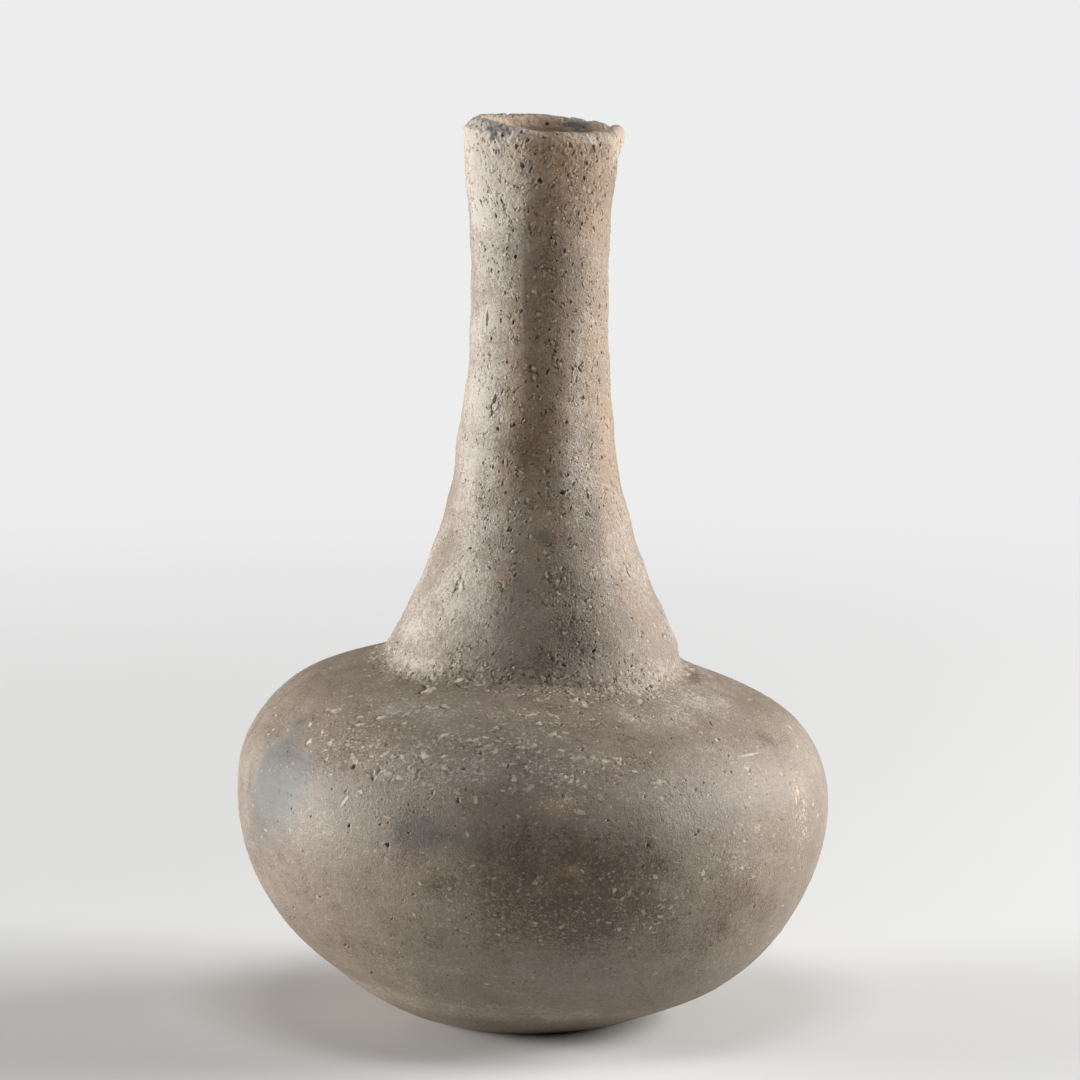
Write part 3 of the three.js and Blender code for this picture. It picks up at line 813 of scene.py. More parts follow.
LIP_WEAR = [Wear(85, 20, 0.6, 1.5), Wear(104, 16, -1.6, 0.0), Wear(-42, 45, 0.9, 0.0)]
LIP_SWELLS = [
    Patch(-95, 3.4, 9, 3.2, -1.3), Patch(-88, -1.0, 12, 8.0, -1.3), Patch(84, 0.0, 7, 6.0, -0.7),
    Patch(37, 1.4, 2.2, 1.4, 0.35), Patch(-58, 6.6, 13, 3.2, 1.1), Patch(104, 4.7, 3.0, 4.0, -1.5),
    Patch(84, 4.2, 4.0, 3.2, 0.6), Patch(68, 3.5, 2.0, 4.0, -0.5),
]
LIP_SCARS = [
    Patch(-46, 3.6, 10.0, 3.0, 0.5), Patch(-29, 2.4, 4.0, 3.4, 0.5), Patch(142, 6.5, 5.0, 3.4, 0.5),
    Patch(-150, 5.5, 4.0, 1.4, 0.5), Patch(160, 3.0, 3.0, 2.0, 0.5),
]
LIP_DENTS = [
    Dent(-27, 4.2, 1.6, 3.0, 1.0, 15), Dent(-54.5, 2.4, 1.1, 1.0, 0.5), Dent(-50, 3.3, 0.9, 1.0, 0.5),
    Dent(-38.5, 2.0, 1.3, 1.1, 0.6), Dent(-28, 0.8, 1.2, 1.4, 0.8), Dent(21, -0.1, 1.9, 3.2, 0.5, 20),
    Dent(44.5, 1.8, 1.1, 1.3, 0.8), Dent(47, 0.2, 1.2, 1.9, 0.8, 15), Dent(2.5, 1.9, 1.7, 0.8, 0.6),
    Dent(173.5, 9.1, 1.6, 1.2, 0.8), Dent(-14, 2.6, 1.0, 1.5, 0.5, 10), Dent(-9, 0.6, 1.2, 1.7, 0.6, -15),
    Dent(41, -1.2, 0.8, 4.6, 0.8, 24), Dent(46, -4.0, 0.8, 3.6, 0.7, -18),
    Dent(36, -5.0, 1.0, 2.4, 0.6, 10), Dent(-17, -1.5, 0.9, 2.0, 0.6, 5), Dent(12, 3.2, 0.9, 0.8, 0.4),
    Dent(30, -2.0, 0.8, 1.4, 0.5),
]
LIP_TONES = [
    Patch(82, 0.5, 6.0, 6.5, 1.1), Patch(38, 1.2, 4.0, 2.4, 0.7), Patch(142, 8.0, 5.0, 2.6, -3.0),
    Patch(-75, 1.0, 12.0, 7.0, 0.9), Patch(-5, 0.5, 12.0, 5.0, 0.4),
]
LIP_PINKS = [
    Patch(142, 8.0, 5.0, 2.4, -1.6), Patch(6, 0.5, 15.0, 5.0, 0.45), Patch(82, 1.0, 7.0, 6.0, 0.65),
    Patch(-152, 9.0, 9.0, 6.0, 0.5), Patch(-75, 2.0, 6.0, 5.0, 0.3),
]
LIP_CLOUDS = [Patch(142, 8.0, 5.0, 2.6, 0.9)]
LIP_SWELL_SEED, SCAR_SEED, LIP_TONE_SEED, LIP_PINK_SEED, LIP_CLOUD_SEED = 700, 720, 740, 760, 780
LIP_SWELL_ROUGH, LIP_SWELL_END = 0.15, 1.4
SCAR_RAGGED, SCAR_EDGE, SCAR_ROUGH, SCAR_GRAIN = 0.6, (0.6, 1.1), 0.3, 1.8
SCAR_CLOUD, SCAR_PALE = 0.45, 1.7
# The lip's inner side is pink, and painted light makes it paler.
INNER_LIP, INNER_LIP_PINK, INNER_LIP_PAINTED_LIGHT = (4.7, 7.5), 0.8, 1.3
LIP_START, LIP_END, NEAR_LIP_TONE = (-9, 0), (9, 14), 0.25
LIP_LUMPS, LIP_GRIT = Bumps(0.16, 2.6, 71, 3), Bumps(0.09, 0.9, 75)


def scar(skin, patch, seed):
    """Breaks a place out of the lip, down to the grey clay under its skin."""
    at, away = spread(skin, patch, OUTLINE.mouth + patch.height, seed, SCAR_RAGGED)
    broken = 1 - smooth(away, *SCAR_EDGE)
    skin.relief[at] -= broken * (patch.strength + SCAR_ROUGH * fractal(skin.points[at], SCAR_GRAIN, seed, 2))
    skin.masks["cloud"][at] = np.maximum(skin.masks["cloud"][at], SCAR_CLOUD * broken)
    skin.masks["tone_and_painted_light"][at] += SCAR_PALE * broken


def wear_lip(skin):
    """The broken and rubbed places of the lip, and painted light on its inner side."""
    for number, patch in enumerate(LIP_SWELLS):
        path = OUTLINE.mouth + patch.height
        lift(skin, patch, path, LIP_SWELL_SEED + number, LIP_SWELL_ROUGH, LIP_SWELL_END)
    for number, patch in enumerate(LIP_SCARS):
        scar(skin, patch, SCAR_SEED + number)
    zones = (("tone_and_painted_light", LIP_TONES, LIP_TONE_SEED), ("pink", LIP_PINKS, LIP_PINK_SEED),
             ("cloud", LIP_CLOUDS, LIP_CLOUD_SEED))
    for mask, patches, seed in zones:
        for number, patch in enumerate(patches):
            dab(skin, mask, patch, OUTLINE.mouth + patch.height, seed + number)
    over = (skin.section.path - OUTLINE.mouth)[:, None]
    inner = smooth(over, *INNER_LIP) * (skin.section.side == "lip")[:, None]
    # Painted light on the lip's inner side, with its pink.
    skin.masks["pink"] += INNER_LIP_PINK * inner
    skin.masks["tone_and_painted_light"] += INNER_LIP_PAINTED_LIGHT * inner
    near = smooth(over, *LIP_START) * (1 - smooth(over, *LIP_END))
    skin.relief += (bumps(skin.points, LIP_LUMPS) + bumps(skin.points, LIP_GRIT)) * near
    skin.masks["tone_and_painted_light"] += NEAR_LIP_TONE * near


def lip_wear(skin):
    """How far the lip's wear lifts it and moves it out, column by column."""
    rise, flare = 0.0, 0.0
    for wear in LIP_WEAR:
        share = 1 - smooth(skin.turned(wear.turn), 0, wear.wide)
        rise = rise + share * wear.rise
        flare = flare + share * wear.flare
    return rise, flare


def surface(skin, relief):
    """The surface's points with a relief, in millimetres, where the lean puts them."""
    normal = skin.section.normal.astype(np.float32)
    height = skin.height[:, None] + relief * normal[:, 1:]
    worn = smooth(height, MOUTH_HEIGHT - LIP_COIL_HEIGHT / 2, MOUTH_HEIGHT)
    rise, flare = lip_wear(skin)
    radius = skin.radius[:, None] + relief * normal[:, :1] + worn * flare
    points = np.empty_like(skin.points)
    points[..., :2] = radius[..., None] * skin.round
    points[..., 2] = height + worn * rise
    return skin.placed(points)


def normals(points):
    """The direction out of the surface at each point of a grid."""
    across = np.roll(points, -1, 1) - np.roll(points, 1, 1)
    along = np.gradient(points, axis=0)
    out = np.cross(across, along)
    return out / np.maximum(np.linalg.norm(out, axis=-1, keepdims=True), 1e-9)


# Meshes

Ring = namedtuple("Ring", "row step")
INNER_WEIGHT = 0.3
STRIP_FILL = 0.98
DISC_MARGIN = 1.03


def ring_faces(low, high):
    """Faces between two rings, as columns of the low ring and the high ring, each in its own steps."""
    count = AROUND // max(low.step, high.step)
    j = np.arange(count)
    if low.step == high.step:
        return [np.stack([j, j + 1, j + 1, j], -1)], [np.array([0, 0, 1, 1])]
    if low.step < high.step:
        return ([np.stack([2 * j, 2 * j + 1, j], -1), np.stack([2 * j + 1, j + 1, j], -1),
                 np.stack([2 * j + 1, 2 * j + 2, j + 1], -1)],
                [np.array([0, 0, 1]), np.array([0, 1, 1]), np.array([0, 0, 1])])
    return ([np.stack([j, 2 * j + 1, 2 * j], -1), np.stack([j, j + 1, 2 * j + 1], -1),
             np.stack([j + 1, 2 * j + 2, 2 * j + 1], -1)],
            [np.array([0, 1, 1]), np.array([0, 0, 1]), np.array([0, 1, 1])])


class Piece:
    """Gathers the points and faces of one piece of clay from rings of the grid."""

    def __init__(self, points, normal, masks):
        self.points, self.normal, self.masks = points, normal, masks
        self.co, self.no, self.values = [], [], {name: [] for name in MASKS}
        self.total = 0
        self.starts = {}
        self.loops, self.sizes, self.uvs = [], [], []

    def ring(self, key, ring):
        """Adds a ring's points once."""
        if key not in self.starts:
            columns = np.arange(0, AROUND, ring.step)
            self.co.append(self.points[ring.row][columns])
            self.no.append(self.normal[ring.row][columns])
            for name in MASKS:
                self.values[name].append(self.masks[name][ring.row][columns])
            self.starts[key] = self.total
            self.total += len(columns)
        return self.starts[key]

    def pole(self, point, normal, row):
        """Adds the point that closes a disc."""
        self.co.append(np.array([point]))
        self.no.append(np.array([normal]))
        for name in MASKS:
            self.values[name].append(np.array([self.masks[name][row].mean()]))
        self.total += 1
        return self.total - 1

    def faces(self, corners, uv):
        """Adds faces with as many corners each."""
        self.loops.append(corners.reshape(-1))
        self.sizes.append(np.full(len(corners), corners.shape[1]))
        self.uvs.append(uv.reshape(-1, 2))

    def mesh(self, name):
        """The mesh, in metres."""
        mesh = bpy.data.meshes.new(name)
        loops, sizes = np.concatenate(self.loops), np.concatenate(self.sizes)
        mesh.vertices.add(self.total)
        mesh.vertices.foreach_set("co", (np.concatenate(self.co) * MM).astype(np.float32).ravel())
        mesh.loops.add(len(loops))
        mesh.loops.foreach_set("vertex_index", loops.astype(np.int32))
        mesh.polygons.add(len(sizes))
        mesh.polygons.foreach_set("loop_start", (np.cumsum(sizes) - sizes).astype(np.int32))
        mesh.update(calc_edges=True)
        layer = mesh.uv_layers.new(name="OFBake")
        layer.uv.foreach_set("vector", np.concatenate(self.uvs).astype(np.float32).ravel())
        for mask in MASKS:
            values = mesh.attributes.new(mask, "FLOAT", "POINT")
            values.data.foreach_set("value", np.concatenate(self.values[mask]).astype(np.float32))
        mesh.normals_split_custom_set_from_vertices(np.concatenate(self.no).tolist())
        return mesh


def hoop(piece, rings, weights, strips):
    """Joins rings into a closed hoop, unwrapped into strips that lie above each other."""
    turns = AROUND // strips
    lengths = []
    for ring, following in zip(rings, rings[1:] + rings[:1]):
        gap = piece.points[following.row] - piece.points[ring.row]
        lengths.append(np.linalg.norm(gap, axis=-1).mean())
    spans = np.concatenate([[0.0], np.cumsum(np.array(lengths) * weights)])
    spans *= STRIP_FILL / spans[-1]
    for number, low in enumerate(rings):
        following = (number + 1) % len(rings)
        high = rings[following]
        first, second = piece.ring(number, low), piece.ring(following, high)
        for columns, which in zip(*ring_faces(low, high)):
            step = np.where(which == 0, low.step, high.step)
            count = AROUND // step
            corners = np.where(which == 0, first, second) + columns % count
            place = columns * step
            strip = place.min(axis=1, keepdims=True) // turns
            u = (place - strip * turns) / turns
            v = (strip + np.where(which == 0, spans[number], spans[number + 1])) / strips
            piece.faces(corners, np.stack([u, np.broadcast_to(v, u.shape)], -1))


def fan(piece, centre, start, ring, rising, spot):
    """Closes a disc with triangles round its middle."""
    j = np.arange(AROUND // ring.step)
    ahead = (j + 1) % len(j)
    around = np.stack([start + ahead, start + j] if rising else [start + j, start + ahead], -1)
    corners = np.concatenate([np.full((len(j), 1), centre), around], -1)
    piece.faces(corners, spot(np.concatenate(piece.co)[corners]))


BOTTOM_SPOT, FLOOR_SPOT = (0.32, 0.31), (0.83, 0.16)


def spot_map(radius, spot):
    """A flat map of a disc into its own corner of the square."""
    middle, half = spot
    return lambda points: middle + points[..., :2] / radius * half


def disc(piece, rings, turn_at, low_pole, high_pole):
    """Joins rings into a closed disc. Those before turn_at are its underside."""
    radius = np.abs(piece.points[[ring.row for ring in rings], :, :2]).max() * DISC_MARGIN
    below, above = spot_map(radius, BOTTOM_SPOT), spot_map(radius, FLOOR_SPOT)
    starts = [piece.ring(number, ring) for number, ring in enumerate(rings)]
    bottom = piece.pole(low_pole, (0, 0, -1), rings[0].row)
    top = piece.pole(high_pole, (0, 0, 1), rings[-1].row)
    points = np.concatenate(piece.co)
    fan(piece, bottom, starts[0], rings[0], True, below)
    for number, (low, high) in enumerate(zip(rings, rings[1:])):
        spot = below if number + 1 < turn_at else above
        for columns, which in zip(*ring_faces(low, high)):
            count = AROUND // np.where(which == 0, low.step, high.step)
            corners = np.where(which == 0, starts[number], starts[number + 1]) + columns % count
            piece.faces(corners, spot(points[corners]))
    fan(piece, top, starts[-1], rings[-1], False, above)


# Pieces of the bottle

# Courses over these radii, in millimetres, keep all columns of the grid or unwrap into more strips
WIDE_COURSE, STRIP_COURSE = 50.0, 30.0
WIDE_STRIPS, NARROW_STRIPS = 4, 2
INNER_STEP = 2
DISC_GAP, DISC_COLUMNS = 0.4, 10


def course_steps(section):
    """How many grid columns one column of each course spans, so that its points lie 0.3 to 0.6 mm apart."""
    return [1 if section.base[rows, 0].mean() > WIDE_COURSE else 2 for rows in section.outer]


def course_rings(rows, steps, number, share=1):
    """A course's rings from the bottom up, with the finer of two courses' columns on their joint."""
    rings = [Ring(row, share * steps[number]) for row in rows]
    if number > 0:
        rings[0] = Ring(rows[0], share * min(steps[number - 1], steps[number]))
    if number + 1 < len(steps):
        rings[-1] = Ring(rows[-1], share * min(steps[number + 1], steps[number]))
    return rings


def outer_rings(section, steps, number):
    """A course's rings on the outside, from the bottom up."""
    return course_rings(section.outer[number], steps, number)


def inner_rings(section, steps, number):
    """A course's rings on the inside, from the top down, with fewer columns."""
    return course_rings(section.inner[number][::-1], steps, number, INNER_STEP)[::-1]


def disc_rings(section, rows, first_step):
    """Rings towards the middle of a disc, with fewer columns as they get smaller."""
    rings, step = [], first_step
    for row in rows:
        gap = 2 * math.pi * section.base[row, 0] / AROUND * step
        if gap < DISC_GAP and AROUND // (2 * step) >= DISC_COLUMNS:
            step *= 2
        rings.append(Ring(row, step))
    return rings


def base_pat(section, steps, piece):
    """The pat of clay that the bottle stands on."""
    seat = disc_rings(section, section.seat[::-1], steps[0])[::-1]
    outside = outer_rings(section, steps, 0)
    inside = inner_rings(section, steps, 0)
    floor = disc_rings(section, section.floor, inside[-1].step)
    rings = seat + outside + inside + floor
    disc(piece, rings, len(seat) + len(outside), (0, 0, 0), (0, 0, section.floor_level))


def coil(section, steps, number, piece):
    """One course of the wall."""
    outside, inside = outer_rings(section, steps, number), inner_rings(section, steps, number)
    weights = [1.0] * (len(outside) - 1) + [INNER_WEIGHT] * (len(inside) + 1)
    radius = section.base[section.outer[number], 0].mean()
    hoop(piece, outside + inside, weights, WIDE_STRIPS if radius > STRIP_COURSE else NARROW_STRIPS)


def lip_coil(section, steps, piece):
    """The coil that closes the mouth."""
    last = len(steps) - 1
    outside, inside = outer_rings(section, steps, last), inner_rings(section, steps, last)
    over = [Ring(row, steps[last]) for row in section.lip]
    rings = outside + over + inside
    hoop(piece, rings, [1.0] * (len(rings) - 1) + [INNER_WEIGHT], NARROW_STRIPS)


# The luting: how far it reaches up the neck and down the shoulder, and further where it is smeared
LUTING_UP, LUTING_DOWN = 3.6, 4.0
LUTING_SMEARS = [Smear(-50, 30, 3.4), Smear(38, 22, 1.6), Smear(-150, 40, 2.6)]
LUTING_MOST = max(smear.reach for smear in LUTING_SMEARS)
SMEAR_UP, SMEAR_BULK, SMEAR_PALE = 0.4, 0.24, 0.26
SMEAR_SMOOTH, SMEAR_SINK = 0.3, 0.5
LUTING_BULK, LUTING_ROUGH, LUTING_SINK, LUTING_CALM = 0.1, 0.3, 0.45, 0.5
LUTING_LUMPS = Bumps(1.0, 3.4, 81, 3)
LUTING_BACK, LUTING_BACK_ROWS = -1.2, 4


def luting_smear(skin):
    """How much further down the shoulder the clay is smeared, column by column, in millimetres."""
    further = 0.0
    for smear in LUTING_SMEARS:
        further = further + smear.reach * (1 - smooth(skin.turned(smear.turn), 0, smear.wide))
    return further


def luting_share(skin):
    """How far each point is from the corner that the clay fills: 0 there and 1 at the clay's edge."""
    run = (skin.section.run - OUTLINE.foot)[:, None]
    smear = luting_smear(skin)
    return np.where(run > 0, run / (LUTING_UP + SMEAR_UP * smear), -run / (LUTING_DOWN + smear))


def luting_tone(skin):
    """How much paler the smeared clay is. It fades towards its edges."""
    return SMEAR_PALE * luting_smear(skin) * np.clip(1 - luting_share(skin) ** 2, 0, 1)


def luting_relief(skin):
    """How far the clay stands over the wall, in millimetres. It sinks into the wall at its ragged edges."""
    smear, share = luting_smear(skin), luting_share(skin)
    fillet = SMEAR_BULK * smear * np.clip(1 - share, 0, 1) ** 2
    rough = LUTING_ROUGH * (1 - SMEAR_SMOOTH * smear / LUTING_MOST)
    sink = LUTING_SINK * (1 - SMEAR_SINK * smear / LUTING_MOST)
    crumbs = rough * bumps(skin.points, LUTING_LUMPS) * (1 - LUTING_CALM * share)
    rise = LUTING_BULK * (1 - share ** 2) + fillet + crumbs - sink * share ** 2
    return np.maximum(rise, LUTING_BACK / 2)


def neck_luting(section, piece):
    """The clay smeared into the corner at the foot of the neck."""
    run = section.run - OUTLINE.foot
    low, high = -LUTING_DOWN - LUTING_MOST, LUTING_UP + SMEAR_UP * LUTING_MOST
    rows = np.flatnonzero((section.side == "outside") & (run > low) & (run < high))
    front = [Ring(row, 1) for row in rows]
    back = [Ring(row + len(section.run), INNER_STEP) for row in rows[::-LUTING_BACK_ROWS]]
    hoop(piece, front + back, [1.0] * (len(front) - 1) + [INNER_WEIGHT] * (len(back) + 1), WIDE_STRIPS)


def luting_piece(skin, normal):
    """The grid that the luting is cut from: its face over the wall, then its back inside the wall."""
    face = surface(skin, skin.relief + luting_relief(skin))
    back = surface(skin, skin.relief + LUTING_BACK)
    masks = {name: np.concatenate([mask, mask]) for name, mask in skin.masks.items()}
    masks["tone_and_painted_light"] += np.concatenate([luting_tone(skin)] * 2)
    return Piece(np.concatenate([face, back]), np.concatenate([normals(face), -normal]), masks)


# Materials

def linear(red, green, blue):
    """A colour as it looks on a screen, as the light that it returns."""
    def one(value):
        value = value / 255
        return value / 12.92 if value <= 0.04045 else ((value + 0.055) / 1.055) ** 2.4
    return (one(red), one(green), one(blue), 1.0)


CLAY_DARKEST = linear(66, 55, 46)
CLAY_DARK = linear(100, 84, 69)
CLAY = linear(146, 132, 118)
CLAY_PALE = linear(193, 183, 171)
CLOUD_DARK, CLOUD_PALE = linear(96, 94, 89), linear(148, 146, 139)
PINK = linear(204, 170, 138)
TEMPER = linear(206, 194, 177)
CREAM = linear(218, 205, 184)
# Painted shade in pits, crevices and pores.
HOLE_SHADE = linear(42, 33, 26)

# Angular grains and round specks: the gap round a grain, soft edges, and the least strength or radius
GRAIN_GAP, GRAIN_SOFT, GRAIN_LEAST = 0.02, 0.06, 0.4
SPECK_LEAST, SPECK_SOFT = 0.3, 0.5


class Nodes:
    """Adds nodes to a material."""

    def __init__(self, name):
        self.material = bpy.data.materials.new(name)
        self.material.use_nodes = True
        self.tree = self.material.node_tree
        self.shader = self.tree.nodes["Principled BSDF"]

    def add(self, kind, values=(), **settings):
        """A node with its settings, and with its sockets set to values or linked to other nodes."""
        node = self.tree.nodes.new(kind)
        for name, value in settings.items():
            setattr(node, name, value)
        for name, value in dict(values).items():
            self.put(node.inputs[name], value)
        return node

    def put(self, socket, value):
        """Sets a socket, or links it."""
        if isinstance(value, bpy.types.NodeSocket):
            self.tree.links.new(value, socket)
        else:
            socket.default_value = value

    def mask(self, name):
        """A mask of the skin."""
        return self.add("ShaderNodeAttribute", attribute_name=name).outputs["Fac"]

    def math(self, operation, *values, clamp=False):
        """A sum on numbers."""
        node = self.add("ShaderNodeMath", operation=operation, use_clamp=clamp)
        for number, value in enumerate(values):
            self.put(node.inputs[number], value)
        return node.outputs[0]

    def span(self, value, start, end, low=0.0, high=1.0):
        """Maps a span of values on another, with soft ends."""
        node = self.add("ShaderNodeMapRange", interpolation_type="SMOOTHSTEP")
        for number, item in enumerate((value, start, end, low, high)):
            self.put(node.inputs[number], item)
        return node.outputs[0]

    def mix(self, share, first, second, blend="MIX"):
        """A blend of two colours."""
        node = self.add("ShaderNodeMix", data_type="RGBA", blend_type=blend)
        self.put(node.inputs[0], share)
        self.put(node.inputs[6], first)
        self.put(node.inputs[7], second)
        return node.outputs[2]

    def place(self, x=1.0, y=1.0, z=1.0):
        """The point in millimetres, stretched along the axes."""
        point = self.add("ShaderNodeTexCoord").outputs["Object"]
        scale = tuple(share / MM for share in (x, y, z))
        return self.add("ShaderNodeVectorMath", {0: point, 1: scale}, operation="MULTIPLY").outputs[0]

    def wrapped(self, around, along):
        """The point as it lies round the bottle and along its wall, in millimetres, stretched."""
        point = self.add("ShaderNodeSeparateXYZ", {"Vector": self.place(around, around)}).outputs
        length = self.math("MULTIPLY", self.mask("along"), along)
        return self.add("ShaderNodeCombineXYZ", {"X": point["X"], "Y": point["Y"], "Z": length}).outputs[0]

    def wobbled(self, place, size, reach, detail=2.0):
        """A place shifted by noise, both in millimetres."""
        values = {"Vector": self.place(), "Scale": 1 / size, "Detail": detail}
        shift = self.add("ShaderNodeTexNoise", values).outputs["Color"]
        return self.add("ShaderNodeVectorMath", {0: shift, 1: (reach,) * 3, 2: place},
                        operation="MULTIPLY_ADD").outputs[0]

    def between(self, share, first, second):
        """A blend of two numbers."""
        return self.math("MULTIPLY_ADD", self.math("SUBTRACT", second, first), share, first)

    def about(self, value, strength, base):
        """Adds noise, taken about its middle, to a number."""
        return self.math("MULTIPLY_ADD", self.math("SUBTRACT", value, 0.5), strength, base)

    def clumps(self, place, size, detail, rough):
        """Noise from 0 to 1, with bumps of a size in millimetres."""
        values = {"Vector": place, "Scale": 1 / size, "Detail": detail, "Roughness": rough}
        return self.add("ShaderNodeTexNoise", values).outputs["Fac"]

    def shards(self, place, size, share, edge):
        """Angular grains: a share of cells of a size, drawn in from their edges."""
        values = {"Vector": place, "Scale": 1 / size}
        cells = self.add("ShaderNodeTexVoronoi", values).outputs["Color"]
        pick = self.add("ShaderNodeSeparateColor", {"Color": cells})
        gap = self.add("ShaderNodeTexVoronoi", values, feature="DISTANCE_TO_EDGE").outputs["Distance"]
        inset = self.math("MULTIPLY_ADD", pick.outputs[1], edge, GRAIN_GAP)
        inside = self.span(gap, inset, self.math("ADD", inset, GRAIN_SOFT))
        chosen = self.math("LESS_THAN", pick.outputs[0], share)
        strength = self.math("MULTIPLY_ADD", pick.outputs[2], 1 - GRAIN_LEAST, GRAIN_LEAST)
        return self.math("MULTIPLY", self.math("MULTIPLY", inside, chosen), strength)

    def specks(self, place, size, share, radius):
        """Round dots in a share of cells of a size."""
        cells = self.add("ShaderNodeTexVoronoi", {"Vector": place, "Scale": 1 / size})
        pick = self.add("ShaderNodeSeparateColor", {"Color": cells.outputs["Color"]})
        least = SPECK_LEAST * radius
        edge = self.math("MULTIPLY_ADD", pick.outputs[1], (1 - SPECK_LEAST) * radius, least)
        dot = self.span(cells.outputs["Distance"], edge, self.math("MULTIPLY", edge, SPECK_SOFT))
        return self.math("MULTIPLY", dot, self.math("LESS_THAN", pick.outputs[0], share))


# Noise in the clay: the size of its bumps in millimetres, its detail and its roughness
MOTTLE, FINE, DUST = (9.0, 5.0, 0.6), (1.3, 4.0, 0.7), (0.45, 2.0, 0.6)
BURNISH, SCRAPE = (1.2, 4.0, 0.65), (1.5, 3.0, 0.55)
SPOTS, GRIT, RAGGED = (0.75, 3.0, 0.7), (0.6, 3.0, 0.7), (0.5, 3.0, 0.7)
BURNISH_STRETCH, SCRAPE_STRETCH, SPOT_EDGE = (0.08, 1.0), (1.0, 0.12), (0.52, 0.64)

Grain = namedtuple("Grain", "mottle fine dust streak pale")


def grain(nodes):
    """The clay's unevenness: broad mottles, fine grain, dust, streaks of smoothing and pale spots."""
    place = nodes.place()
    burnish = nodes.clumps(nodes.wrapped(*BURNISH_STRETCH), *BURNISH)
    scrape = nodes.clumps(nodes.wrapped(*SCRAPE_STRETCH), *SCRAPE)
    return Grain(nodes.clumps(place, *MOTTLE), nodes.clumps(place, *FINE), nodes.clumps(place, *DUST),
                 nodes.between(nodes.mask("neck"), burnish, scrape),
                 nodes.span(nodes.clumps(place, *SPOTS), *SPOT_EDGE))


# How masks and noise set the clay's tone, and the tones or noise between which a colour comes in
TONE_SHARE, TONE_MIDDLE = 0.32, 0.48
MOTTLE_SHARE, STREAK_SHARE, DUST_SHARE = 0.8, 0.3, 1.1
SPOTS_IN_TEMPER, SPOTS_LEAST = 0.45, 0.1
DARK_TONES, DARKEST_TONES, PALE_TONES = (0.5, -0.1), (0.15, -0.5), (0.5, 1.0)
CLOUD_MOTTLE, CLOUD_COVER, CLOUD_TONES = (0.2, 0.7), (0.7, 0.95), (0.1, 1.0)
PINK_SPOTS, PINK_COVER = (0.0, 1.0), (0.5, 1.0)


def ground(nodes, grains, contrast):
    """The clay's colour, with the fire's clouds and stains on it and the light and shade painted into its
    tone.
    """
    tone_and_painted_light = nodes.math("MULTIPLY_ADD", nodes.mask("tone_and_painted_light"), TONE_SHARE, TONE_MIDDLE)
    tone_and_painted_light = nodes.about(grains.mottle, MOTTLE_SHARE, tone_and_painted_light)
    plain = nodes.about(grains.streak, STREAK_SHARE, tone_and_painted_light)
    tone_and_painted_light = nodes.about(grains.fine, contrast, plain)
    tone_and_painted_light = nodes.about(grains.dust, DUST_SHARE * contrast, tone_and_painted_light)
    spots = nodes.math("MULTIPLY_ADD", nodes.mask("temper"), SPOTS_IN_TEMPER, SPOTS_LEAST)
    tone_and_painted_light = nodes.math("MULTIPLY_ADD", grains.pale, spots, tone_and_painted_light)
    colour = nodes.mix(nodes.span(tone_and_painted_light, *DARK_TONES), CLAY, CLAY_DARK)
    colour = nodes.mix(nodes.span(tone_and_painted_light, *DARKEST_TONES), colour, CLAY_DARKEST)
    colour = nodes.mix(nodes.span(tone_and_painted_light, *PALE_TONES), colour, CLAY_PALE)
    cover = nodes.span(grains.mottle, *CLOUD_MOTTLE, *CLOUD_COVER)
    cloud = nodes.mix(nodes.span(plain, *CLOUD_TONES), CLOUD_DARK, CLOUD_PALE)
    colour = nodes.mix(nodes.math("MULTIPLY", nodes.mask("cloud"), cover), colour, cloud)
    cover = nodes.span(grains.pale, *PINK_SPOTS, *PINK_COVER)
    return nodes.mix(nodes.math("MULTIPLY", nodes.mask("pink"), cover), colour, PINK)


# Flecks and pores: the size of their cells in millimetres, and the share of cells that have one
FLECK_STRETCH, FLECK_WOBBLE = (0.85, 1.0), (0.6, 0.4)
FLECK_SIZE, FLECK_SHARE, FLECK_EDGE = 1.2, 0.12, 0.25
SMALL_FLECK_SIZE, SMALL_FLECK_SHARE, SMALL_FLECK_LEAST = 0.7, 0.16, 0.03
SMALL_FLECK_EDGE, SMALL_FLECK_STRENGTH = 0.2, 0.5
PORE_SIZE, PORE_RADIUS, PORE_WOBBLE = 1.4, 0.3, (0.7, 0.5)
PORES_ON_NECK, PORES_LEAST = 0.12, 0.06


def flecks(nodes, share):
    """Chips of pale temper, longer round the bottle than along its wall."""
    temper = nodes.mask("temper")
    place = nodes.wobbled(nodes.wrapped(*FLECK_STRETCH), *FLECK_WOBBLE)
    count = nodes.math("MULTIPLY", temper, FLECK_SHARE * share)
    middle = nodes.shards(place, FLECK_SIZE, count, FLECK_EDGE)
    count = nodes.math("MULTIPLY_ADD", temper, SMALL_FLECK_SHARE * share, SMALL_FLECK_LEAST)
    small = nodes.shards(place, SMALL_FLECK_SIZE, count, SMALL_FLECK_EDGE)
    return nodes.math("MAXIMUM", middle, nodes.math("MULTIPLY", small, SMALL_FLECK_STRENGTH))


def pores(nodes):
    """Pin holes, many on the neck and few on the body."""
    share = nodes.math("MULTIPLY_ADD", nodes.mask("neck"), PORES_ON_NECK, PORES_LEAST)
    return nodes.specks(nodes.wobbled(nodes.place(), *PORE_WOBBLE), PORE_SIZE, share, PORE_RADIUS)


